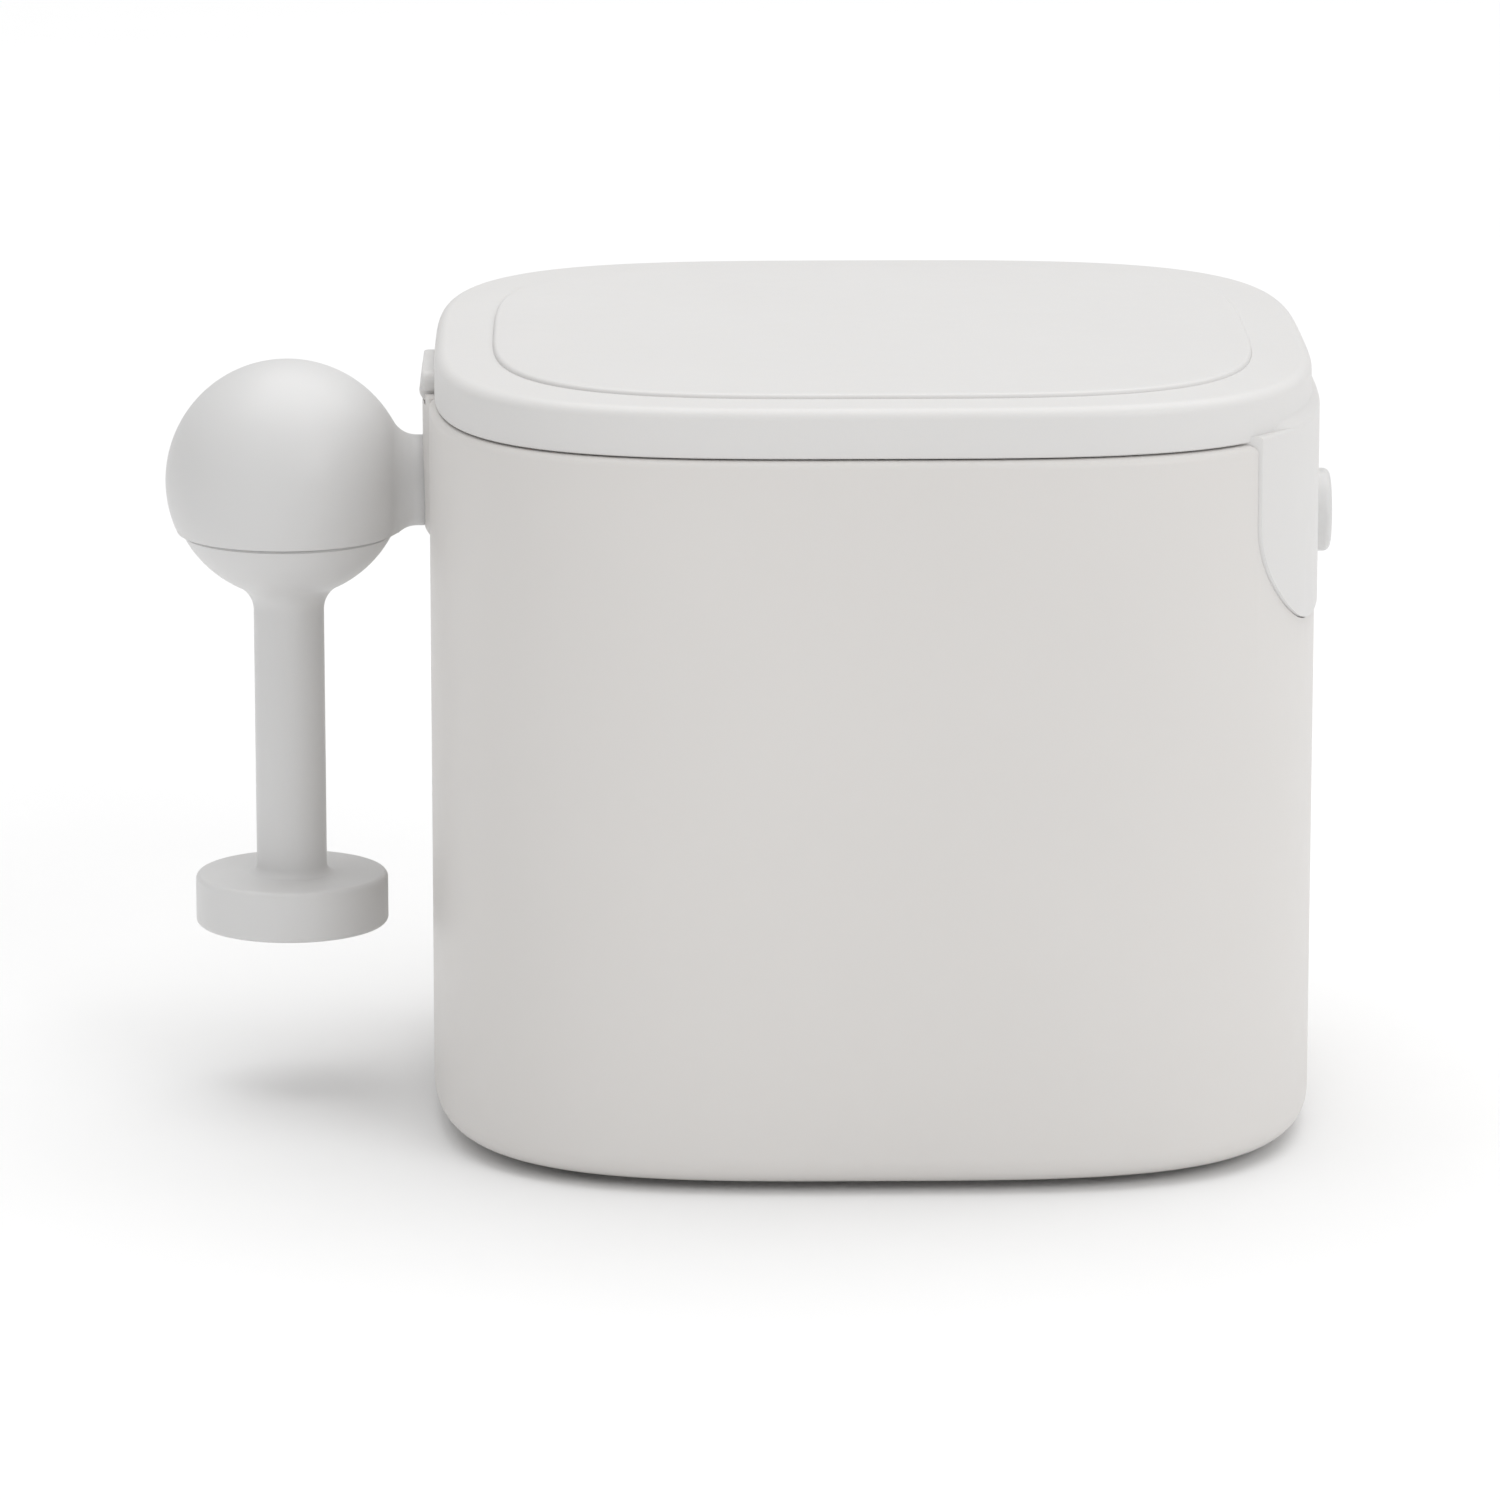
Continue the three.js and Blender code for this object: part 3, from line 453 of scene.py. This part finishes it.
CASING_WHITE = (0.72, 0.70, 0.68)
LID_WHITE = (0.73, 0.722, 0.712)
CRANK_WHITE = (0.70, 0.697, 0.693)
casing_plastic = moulded_plastic("casing_plastic", CASING_WHITE, (0.70, 0.68, 0.66), 0.42)
lid_plastic = moulded_plastic("lid_plastic", LID_WHITE, (0.71, 0.70, 0.69), 0.44)
crank_plastic = moulded_plastic("crank_plastic", CRANK_WHITE, (0.68, 0.676, 0.672), 0.4)
inner_plastic = moulded_plastic("inner_plastic", (0.62, 0.64, 0.645), (0.59, 0.61, 0.62), 0.5, 0.02, 0.02)
cup_plastic = clear_plastic("cup_plastic")
pad_rubber = soft_rubber("pad_rubber", (0.10, 0.105, 0.11), 0.8)
seal_rubber = soft_rubber("seal_rubber", (0.66, 0.68, 0.68), 0.6)
steel = turned_steel("steel", (0.60, 0.61, 0.63), 0.3)

SLOT_MATERIALS = {
    "casing_plastic": casing_plastic,
    "lid_plastic": lid_plastic,
    "crank_plastic": crank_plastic,
    "inner_plastic": inner_plastic,
    "cup_plastic": cup_plastic,
    "pad_rubber": pad_rubber,
    "seal_rubber": seal_rubber,
    "steel": steel,
}


# ------------------------------------------------------------------ casing

def tongue_outline(margin):
    """Outline of the latch tongue as (y, z) points, grown by a margin and running on above the rim."""
    half = TONGUE_HALF_WIDTH + margin
    radius = TONGUE_CORNER_RADIUS + margin
    centre_z = TONGUE_BOTTOM_Z + TONGUE_CORNER_RADIUS
    points = [(half, RIM_Z + 8), (-half, RIM_Z + 8)]
    points += arc(-half + radius, centre_z, radius, 180, 270, 32)
    points += arc(half - radius, centre_z, radius, 270, 360, 32)
    return points


def barrel(name, radius, y0, y1, segments=40, edge=0.0):
    """Round barrel on the hinge axis."""
    return turned(name, rod(radius, y0, y1, edge), (HINGE_X, 0, HINGE_Z), "Y", segments)


def casing_walls():
    """Outer wall, shoulder, inner wall and foot as one ring-shaped surface."""
    foot = [
        (FOOT_RADIUS * (1 - math.cos(a)), PAD_THICKNESS + FOOT_RADIUS * (1 - math.sin(a)))
        for a in [math.pi / 2 * k / 8 for k in range(8, -1, -1)]
    ]
    rings = [ring(plan(CASING_HALF - inset), z) for inset, z in foot]
    rings += [ring(plan(CASING_HALF), z) for z in (20, 40, 58)]
    for k in range(7):
        a = math.pi / 2 * k / 6
        inset = SHOULDER_RADIUS * (1 - math.cos(a))
        z = RIM_Z - SHOULDER_RADIUS * (1 - math.sin(a))
        rings.append(ring(plan(CASING_HALF - inset), z))
    inner_edge = 0.4
    for k in range(4):
        a = math.pi / 2 * k / 3
        grow = inner_edge * (1 - math.sin(a))
        z = RIM_Z - inner_edge * (1 - math.cos(a))
        rings.append(ring(plan(MOUTH_HALF[0] + grow, MOUTH_HALF[1] + grow), z))
    rings.append(ring(plan(*MOUTH_HALF), 30))
    rings.append(ring(plan(MOUTH_HALF[0], MOUTH_HALF[1] - 0.3), PAD_THICKNESS))
    return loft("casing", rings, closed=True)


def wall_pad(name, outline, outer_x, depth, edge):
    """Pad on the left wall from its (y, z) outline, with a rounded outer edge."""
    centre_y = sum(y for y, z in outline) / len(outline)
    centre_z = sum(z for y, z in outline) / len(outline)
    half_y = max(y for y, z in outline) - centre_y
    half_z = max(abs(z - centre_z) for y, z in outline)
    rings = [[(outer_x + depth, y, z) for y, z in outline]]
    for k in range(7):
        angle = math.pi / 2 * k / 6
        inset = edge * (1 - math.cos(angle))
        x = outer_x + edge * (1 - math.sin(angle))
        grow_y, grow_z = 1 - inset / half_y, 1 - inset / half_z
        rings.append([(x, centre_y + (y - centre_y) * grow_y, centre_z + (z - centre_z) * grow_z)
                      for y, z in outline])
    return loft(name, rings)


def crank_boss():
    """Shallow swelling of the left wall, round below the crank's bearing and running up to the hinge."""
    steps = 48
    root_x = -CASING_HALF + 0.12
    back_x = -CASING_HALF + 2
    bottom_fade = 1.6
    swell = []
    for i in range(steps + 1):
        across = 2 * i / steps - 1
        share = (0.5 + 0.5 * math.cos(math.pi * across)) ** 0.35
        swell.append((share * (BOSS_PROUD + 0.12), across * BOSS_HALF_WIDTH))

    def level(z, reach, share):
        wall = [(root_x - x * share, y * reach, z) for x, y in swell]
        half = BOSS_HALF_WIDTH * reach
        return wall + [(back_x, half, z), (back_x, -half, z)]

    centre_z = BOSS_BOTTOM_Z + BOSS_HALF_WIDTH
    rings = []
    for degrees in (8, 12, 16, 20, 24, 28, 32, 36, 40, 50, 60, 70, 80, 90):
        a = math.radians(degrees)
        z = centre_z - BOSS_HALF_WIDTH * math.cos(a)
        fade = min(1.0, (z - BOSS_BOTTOM_Z) / bottom_fade)
        rings.append(level(z, math.sin(a), math.sin(math.pi / 2 * fade)))
    rings.append(level(RIM_Z - 0.03, 1, 1))
    return loft("boss", rings)


def post_centres():
    """Axes of the four posts that the base cover is screwed to."""
    return [(sx * POST_XY, sy * POST_XY, 0) for sx in SIDES for sy in SIDES]


def deck_centres():
    """Axes of the two screws that hold the crusher's deck."""
    return [(side * DECK_SCREW[0], DECK_SCREW[1], 0) for side in SIDES]


def posts_and_ledge():
    """Screw posts with their ribs, and the ledge and bosses that the crusher's deck rests on."""
    tools = []
    foot_z = COVER_TOP_Z + GAP
    for x, y, z in post_centres():
        tools.append(turned("post", rod(POST_RADIUS, foot_z, POST_TOP_Z), (x, y, z), segments=32))
        rib = block("rib", (0, RIB_LENGTH), (-RIB_HALF_WIDTH, RIB_HALF_WIDTH), (foot_z, POST_TOP_Z))
        rib.data.transform(Matrix.Rotation(math.atan2(y, x), 4, "Z"))
        rib.data.transform(Matrix.Translation((x * MM, y * MM, 0)))
        tools.append(rib)
    top = DECK_TOP_Z - DECK_THICKNESS
    bottom = top - LEDGE_HEIGHT
    outer = plan(MOUTH_HALF[0] + 0.5, MOUTH_HALF[1] + 0.5)
    inner = plan(MOUTH_HALF[0] - 1.8, MOUTH_HALF[1] - 1.8)
    rings = [ring(outer, bottom), ring(outer, top), ring(inner, top), ring(inner, bottom)]
    tools.append(loft("ledge", rings, closed=True))
    for centre in deck_centres():
        tools.append(turned("deck_post", rod(DECK_POST_RADIUS, DECK_TOP_Z - 8, top), centre, segments=32))
    return tools


def pilot_holes():
    """Blind holes for the base screws and the deck screws."""
    post_hole = rod(POST_PILOT_RADIUS, 0, POST_TOP_Z - 2)
    deck_hole = rod(DECK_PILOT_RADIUS, DECK_TOP_Z - 7.3, DECK_TOP_Z)
    holes = [turned("pilot", post_hole, centre, segments=24) for centre in post_centres()]
    holes += [turned("deck_pilot", deck_hole, centre, segments=24) for centre in deck_centres()]
    return holes


def latch_recess():
    """Recess for the tongue, with a slot for the latch's boss and a groove for each catch rib."""
    recess = prism_x("recess", tongue_outline(SEAM), 10, 60)
    core_outline = plan(CASING_HALF - RECESS_DEPTH)
    cut(recess, loft("core", [ring(core_outline, -5), ring(core_outline, 90)]))
    slot_half = LATCH_BOSS_RADIUS + 0.4
    slot = block("slot", (30, 60), (-slot_half, slot_half), (TONGUE_BOTTOM_Z - SEAM, RIM_Z + 5))
    groove_z = (CATCH_RIB_Z[0] - 0.4, CATCH_RIB_Z[1] + CATCH_HEADROOM)
    reach = CATCH_RIB_Y[1] + 0.7
    return recess, slot, block("groove", (CATCH_RIB_X - 0.35, 39), (-reach, reach), groove_z)


def make_casing():
    """Casing in one moulding, with its boss, posts, latch recess, bearing hole and hinge knuckle."""
    casing = join(casing_walls(), crank_boss(), *posts_and_ledge())
    crank_axis = (0, 0, CRANK_Z)
    neck_hole = turned("neck_hole", rod(NECK_RADIUS + GAP, -60, BEARING_OUTER_X + 1), crank_axis, "X", 96)
    bearing = turned("bearing", rod(BEARING_RADIUS, BEARING_OUTER_X, -30), crank_axis, "X", 64)
    room_start = KNUCKLE_HALF_LENGTH - 0.1
    room_end = HINGE_HALF_LENGTH + GAP
    rooms = [barrel("room", KNUCKLE_RADIUS + GAP, *ends)
             for ends in ((room_start, room_end), (-room_end, -room_start))]
    pin = barrel("pin_bore", PIN_BORE, PIN_FRONT_Y, 12, 24)
    cut(casing, *latch_recess(), neck_hole, bearing, *pilot_holes())
    soften(casing, EDGE_SOFTNESS)
    cut(casing, *rooms)
    join(casing, barrel("knuckle", KNUCKLE_RADIUS, -KNUCKLE_HALF_LENGTH, KNUCKLE_HALF_LENGTH))
    cut(casing, pin)
    return dress(casing, casing_plastic, "casing", "casing_plastic", "body_shell")


# ------------------------------------------------------------------ lid and latch

def shoulder_outline(share):
    """Outline of the lid's wall where the tongue's shoulder swells out of it."""
    inset = 0.4
    proud = CASING_HALF + TONGUE_PROUD - LID_HALF - 0.05
    points = []
    for x, y in plan(LID_HALF, count=2 * PLAN_COUNT):
        t = min(1.0, max(0.0, (TONGUE_HALF_WIDTH - abs(y)) / SHOULDER_FADE_WIDTH))
        along = t * t * (3 - 2 * t) if x > 0 else 0.0
        growth = 1 + (along * (inset + share * proud) - inset) / LID_HALF
        points.append((x * growth, y * growth))
    return points


def tongue_shoulder():
    """Swelling of the lid's right wall above the tongue, fading out upwards."""
    steps = 20
    rings = [ring(shoulder_outline(1), LID_LIP_Z + 0.02)]
    for k in range(steps + 1):
        t = k / steps
        z = SHOULDER_LOW_Z + t * (SHOULDER_HIGH_Z - SHOULDER_LOW_Z)
        rings.append(ring(shoulder_outline((1 + math.cos(math.pi * t)) / 2), z))
    # Only a rim within the lid's wall is kept, so that the lid stays hollow.
    core = plan(LID_HALF - 0.5)
    return cut(loft("shoulder", rings), loft("core", [ring(core, RIM_Z - 5), ring(core, LID_TOP_Z + 5)]))


def hinge_ear():
    """Ear on the lid's left wall that covers the hinge."""
    radius = 1.0
    half = HINGE_HALF_LENGTH
    outline = [(-half, LID_LIP_Z + 0.03), (half, LID_LIP_Z + 0.03)]
    outline += arc(half - radius, EAR_TOP_Z - radius, radius, 0, 90, 12)
    outline += arc(-half + radius, EAR_TOP_Z - radius, radius, 90, 180, 12)
    return wall_pad("ear", outline, EAR_X, 3, 0.4)


def lid_body():
    """Lid from the middle of its top, over the edge and round to the pocket's ceiling."""
    rings = [ring(plan(PANEL_HALF - 2), LID_TOP_Z)]
    for k in range(9):
        a = math.pi / 2 * (1 - k / 8)
        inset = LID_EDGE_RADIUS * (1 - math.cos(a))
        z = LID_TOP_Z - LID_EDGE_RADIUS * (1 - math.sin(a))
        rings.append(ring(plan(LID_HALF - inset), z))
    rings.append(ring(plan(LID_HALF), LID_LIP_Z + LIP_CHAMFER))
    rings.append(ring(plan(LID_HALF - LIP_CHAMFER), LID_LIP_Z))
    groove_outer = plan(*SEAL_GROOVE_OUTER)
    groove_inner = plan(*SEAL_GROOVE_INNER)
    rings += [ring(groove_outer, LID_LIP_Z), ring(groove_outer, SEAL_GROOVE_TOP_Z)]
    rings += [ring(groove_inner, SEAL_GROOVE_TOP_Z), ring(groove_inner, LID_BOTTOM_Z)]

    def inside_mouth(inset, z):
        return ring(plan(MOUTH_HALF[0] - inset, MOUTH_HALF[1] - inset), z)

    chamfer_in, chamfer_up = 0.3, 0.2
    rings += [
        inside_mouth(SPIGOT_OUTER_INSET, LID_BOTTOM_Z - 0.05),
        inside_mouth(SPIGOT_OUTER_INSET, SPIGOT_BOTTOM_Z + chamfer_up),
        inside_mouth(SPIGOT_OUTER_INSET + chamfer_in, SPIGOT_BOTTOM_Z),
        inside_mouth(SPIGOT_INNER_INSET - chamfer_in, SPIGOT_BOTTOM_Z),
        inside_mouth(SPIGOT_INNER_INSET, SPIGOT_BOTTOM_Z + chamfer_up),
        inside_mouth(SPIGOT_INNER_INSET, POCKET_TOP_Z - POCKET_CHAMFER),
        inside_mouth(SPIGOT_INNER_INSET + POCKET_CHAMFER, POCKET_TOP_Z),
    ]
    return loft("lid", rings)


def tongue_sheet():
    """Curved sheet of the latch tongue, with a rounded shoulder that rises beside the lid."""
    skin_x = CASING_HALF + TONGUE_PROUD
    skin_y = CASING_HALF + 0.1
    radius = 0.3
    rings = [ring(plan(skin_x, skin_y), 40)]
    for k in range(7):
        a = math.pi / 2 * k / 6
        inset = radius * (1 - math.cos(a))
        rings.append(ring(plan(skin_x - inset, skin_y - inset), TONGUE_TOP_Z - radius * (1 - math.sin(a))))
    outside = loft("tongue", rings)
    inner = plan(skin_x - TONGUE_THICKNESS, CASING_HALF - TONGUE_THICKNESS)
    inside = loft("inside", [ring(inner, 30), ring(inner, LID_BOTTOM_Z)])
    core = plan(LID_HALF - 1)
    upper = loft("upper", [ring(core, LID_BOTTOM_Z - 1), ring(core, 90)])
    cut(outside, inside, upper)
    return combine(outside, prism_x("u_shape", tongue_outline(0), 10, 60), "INTERSECT")


def on_button(name, radius, x0, x1):
    """Rod about the button's axis."""
    return turned(name, rod(radius, x0, x1), (0, 0, BUTTON_Z), "X", 96)


def make_lid():
    """Lid in one moulding, with its latch tongue and hinge ear."""
    lid = join(lid_body(), tongue_shoulder())
    boss = on_button("boss", LATCH_BOSS_RADIUS, LATCH_BOSS_X, 39.5)
    combine(boss, prism_x("u_shape", tongue_outline(0), 10, 60), "INTERSECT")
    ribs = [block("rib", (CATCH_RIB_X, 39.2), ends, CATCH_RIB_Z)
            for ends in (CATCH_RIB_Y, (-CATCH_RIB_Y[1], -CATCH_RIB_Y[0]))]
    join(lid, join(tongue_sheet(), boss, *ribs))
    chamber = on_button("chamber", CHAMBER_RADIUS, 30, FLANGE_X[1] + GAP)
    hole = on_button("hole", BUTTON_RADIUS + 0.1, 30, 50)
    cut(lid, chamber, hole)
    soften(lid, EDGE_SOFTNESS)
    barrel_half = HINGE_HALF_LENGTH - 0.15
    join(lid, hinge_ear(), barrel("barrels", KNUCKLE_RADIUS, -barrel_half, barrel_half, edge=0.2))
    room_half = KNUCKLE_HALF_LENGTH + GAP
    room = barrel("room", KNUCKLE_RADIUS + GAP, -room_half, room_half)
    cut(lid, room, barrel("pin_bore", PIN_BORE, PIN_FRONT_Y, 12, 24))
    seat = plan(PANEL_HALF + 0.01)
    cut(lid, loft("panel_seat", [ring(seat, LID_TOP_Z - SEAT_DEPTH), ring(seat, 90)]))
    return dress(lid, lid_plastic, "lid", "lid_plastic", "lid_shell")


def make_panel():
    """Raised panel on the lid, with a softly rounded edge."""
    half = PANEL_HALF
    top = LID_TOP_Z + PANEL_RISE
    radius = 0.38
    rings = [ring(plan(half), LID_TOP_Z - SEAT_DEPTH + 0.02)]
    for k in range(7):
        a = math.pi / 2 * k / 6
        rings.append(ring(plan(half - radius * (1 - math.cos(a))), top - radius * (1 - math.sin(a))))
    rings.append(ring(plan(half - 1.5), top))
    panel = loft("panel", rings)
    return dress(panel, lid_plastic, "lid", "lid_plastic", "lid_panel")


def make_button():
    """Hollow push button with the flange that keeps it in the tongue."""
    edge = 0.65
    inner, outer = FLANGE_X
    profile = [(0, 41), (2.9, 41), (2.9, inner), (FLANGE_RADIUS, inner), (FLANGE_RADIUS, outer)]
    profile += [(BUTTON_RADIUS, outer)]
    profile += arc(BUTTON_RADIUS - edge, BUTTON_OUTER_X - edge, edge, 0, 90, 8)
    profile += [(0, BUTTON_OUTER_X)]
    button = turned("button", profile, (0, 0, BUTTON_Z), "X", 96)
    return dress(button, crank_plastic, "button", "crank_plastic", "latch_button")


# ------------------------------------------------------------------ crank

def make_hub():
    """Ball and neck, turned about the shaft's axis, with a flat face where the arm's cap meets it."""
    centre_r = NECK_RADIUS + NECK_FILLET
    centre_x = math.sqrt((BALL_RADIUS + NECK_FILLET) ** 2 - centre_r ** 2)
    touch = math.degrees(math.atan2(centre_x, centre_r))
    # Angles run from the ball's far pole, over the ball, to where the fillet touches it.
    ball = arc(0, 0, BALL_RADIUS, -90, touch, 64)[1:]
    fillet = arc(centre_r, centre_x, NECK_FILLET, 180 + touch, 180, 12)[1:]
    end = NECK_END_X - BALL_X
    chamfer = 0.2
    neck = [(NECK_RADIUS, end - chamfer), (NECK_RADIUS - chamfer, end), (0, end)]
    profile = [(0, -BALL_RADIUS), *ball, *fillet, *neck]
    hub = turned("hub", profile, (BALL_X, 0, CRANK_Z), "X", 128)
    # What is under the seam belongs to the arm, except the last of the fillet that runs into the neck.
    below = block("below", (BALL_X - 20, BALL_X + 10.1), (-20, 20), (0, SEAM_Z))
    shaft_hole = turned("shaft_hole", rod(SHAFT_RADIUS + GAP, -49, 0), (0, 0, CRANK_Z), "X", 40)
    # The socket widens into a groove that the arm's snap ring springs out into.
    wall = STUD_RADIUS + STUD_CLEARANCE
    groove = wall + 0.7
    heights = [(0, -5), (wall, -5), (wall, 4.6), (groove, 4.6), (groove, 6), (wall, 6), (wall, 8.4), (0, 8.4)]
    socket = turned("socket", [(r, SEAM_Z + h) for r, h in heights], (BALL_X, 0, 0), "Z", 40)
    cut(hub, below, shaft_hole, socket)
    soften(hub, EDGE_SOFTNESS)
    return dress(hub, crank_plastic, "crank", "crank_plastic", "crank_hub")


def make_arm():
    """Lower ball cap, rod and finger disc in one moulding, with the stud that turns in the ball."""
    cap_top = SEAM_Z - GAP + 0.12
    cap_edge = math.sqrt(CAP_RADIUS ** 2 - (CRANK_Z - cap_top) ** 2)
    start = math.degrees(math.atan2(cap_top - CRANK_Z, cap_edge))
    fillet = 2.6
    centre_r = ROD_RADIUS + fillet
    centre_z = CRANK_Z - math.sqrt((CAP_RADIUS + fillet) ** 2 - centre_r ** 2)
    touch = math.degrees(math.atan2(centre_z - CRANK_Z, centre_r))
    edge = 0.55
    root = 0.8
    # The stud has a chamfered end and a waist for the snap ring.
    chamfer = 0.4
    waist = STUD_RADIUS - 0.7
    stud = [(0, 8), (STUD_RADIUS - chamfer, 8), (STUD_RADIUS, 8 - chamfer), (STUD_RADIUS, 5.9)]
    stud += [(waist, 5.9), (waist, 4.7), (STUD_RADIUS, 4.7)]
    profile = [(r, SEAM_Z + h) for r, h in stud]
    profile += [(STUD_RADIUS, cap_top), (cap_edge - 0.25, cap_top)]
    profile += arc(0, CRANK_Z, CAP_RADIUS, start - 1, touch, 28)
    profile += arc(centre_r, centre_z, fillet, 180 + touch, 180, 12)[1:]
    profile += [(ROD_RADIUS, z) for z in (40, 32, 26)]
    profile += arc(ROD_RADIUS + root, DISC_TOP_Z + root, root, 180, 270, 8)
    profile += arc(DISC_RADIUS - edge, DISC_TOP_Z - edge, edge, 90, 0, 8)
    profile += arc(DISC_RADIUS - edge, DISC_BOTTOM_Z + edge, edge, 0, -90, 8)
    profile += [(0, DISC_BOTTOM_Z)]
    arm = turned("arm", profile, (BALL_X, 0, 0), "Z", 128)
    return dress(arm, crank_plastic, "arm", "crank_plastic", "crank_arm")


# ------------------------------------------------------------------ underside

def make_pad():
    """Soft pad that the object stands on, with its lower edge rounded."""
    edge = 0.25
    rings = []
    for k in range(5):
        a = math.pi / 2 * k / 4
        rings.append(ring(plan(PAD_HALF - edge * (1 - math.sin(a))), edge * (1 - math.cos(a))))
    rings.append(ring(plan(PAD_HALF), PAD_THICKNESS))
    pad = loft("pad", rings)
    return dress(pad, pad_rubber, "casing", "pad_rubber", "base_pad")


def make_cover():
    """Base cover inside the casing's foot, with four counterbored screw holes."""
    half_x, half_y = MOUTH_HALF[0] - GAP, MOUTH_HALF[1] - GAP - 0.3
    edge = 0.3
    rings = [
        ring(plan(half_x - edge, half_y - edge), PAD_THICKNESS),
        ring(plan(half_x, half_y), PAD_THICKNESS + edge),
        ring(plan(half_x, half_y), COVER_TOP_Z),
    ]
    cover = loft("cover", rings)
    for centre in post_centres():
        cut(cover, turned("hole", rod(1.7, 0, 10), centre, segments=32),
            turned("head_room", rod(3.1, 0, PAD_THICKNESS + 1.7), centre, segments=48))
    soften(cover, EDGE_SOFTNESS)
    return dress(cover, casing_plastic, "casing", "casing_plastic", "base_cover")


# ------------------------------------------------------------------ CAD nodes that keep their shape

def dress_cad_nodes():
    """Gives every CAD node the material of its slot."""
    slots = {entry["node"]: entry["material_slot"] for entry in frame["record"]["subparts"]}
    for node, obj in frame["nodes"].items():
        obj.data.materials.clear()
        obj.data.materials.append(SLOT_MATERIALS[slots[node]])


# ------------------------------------------------------------------ camera, floor and light

TARGET = Vector((-10.87, 0, 31.39)) * MM
CAMERA_DISTANCE = 785.8 * MM
CAMERA_ELEVATION = 12.82
CAMERA_YAW = 0.94
VIEW_WIDTH = 138.0 * MM


def add_camera():
    data = bpy.data.cameras.new("camera")
    data.sensor_width = 36
    data.lens = data.sensor_width * CAMERA_DISTANCE / VIEW_WIDTH
    data.clip_start = 0.05
    data.clip_end = 20
    camera = bpy.data.objects.new("camera", data)
    bpy.context.scene.collection.objects.link(camera)
    rotation = Matrix.Rotation(math.radians(-CAMERA_YAW), 4, "Z") @ Matrix.Rotation(
        math.radians(90 - CAMERA_ELEVATION), 4, "X")
    camera.matrix_world = Matrix.Translation(TARGET) @ rotation @ Matrix.Translation((0, 0, CAMERA_DISTANCE))
    bpy.context.scene.camera = camera


def add_floor():
    """Plain pale floor under the whole view."""
    half = 4
    corners = ((-half, -half), (half, -half), (half, half), (-half, half))
    bm = bmesh.new()
    bm.faces.new([bm.verts.new((x, y, 0)) for x, y in corners])
    mesh = bpy.data.meshes.new("floor")
    bm.to_mesh(mesh)
    bm.free()
    floor = bpy.data.objects.new("floor", mesh)
    bpy.context.scene.collection.objects.link(floor)
    paper = (0.93, 0.93, 0.93)
    paler = (0.945, 0.945, 0.945)
    material, tree, shader = principled("floor_paper", paper, 0.9)
    grain = noise(tree, 60, 3)
    tree.links.new(mix_colors(tree, grain, paper, paler), shader.inputs["Base Color"])
    mesh.materials.append(material)


def add_softbox(name, place, size, power, color=(1, 1, 1)):
    data = bpy.data.lights.new(name, "AREA")
    data.shape = "RECTANGLE"
    data.size, data.size_y = size
    data.energy = power
    data.color = color
    light = bpy.data.objects.new(name, data)
    light.location = place
    direction = Vector((0, 0, 0.04)) - Vector(place)
    light.rotation_euler = direction.to_track_quat("-Z", "Y").to_euler()
    bpy.context.scene.collection.objects.link(light)


def add_world(strength):
    world = bpy.data.worlds.new("studio")
    world.use_nodes = True
    background = world.node_tree.nodes["Background"]
    background.inputs["Color"].default_value = (1, 1, 1, 1)
    background.inputs["Strength"].default_value = strength
    bpy.context.scene.world = world


bpy.context.scene.view_settings.view_transform = "Standard"
add_camera()
add_floor()
add_world(0.59)
add_softbox("top", place=(0.15, 0.3, 2.2), size=(2.6, 2.6), power=33)
add_softbox("front_right", place=(1.4, -1.7, 1.2), size=(1.2, 1.2), power=10.5)

dress_cad_nodes()
make_casing()
make_lid()
make_panel()
make_button()
make_hub()
make_arm()
make_pad()
make_cover()
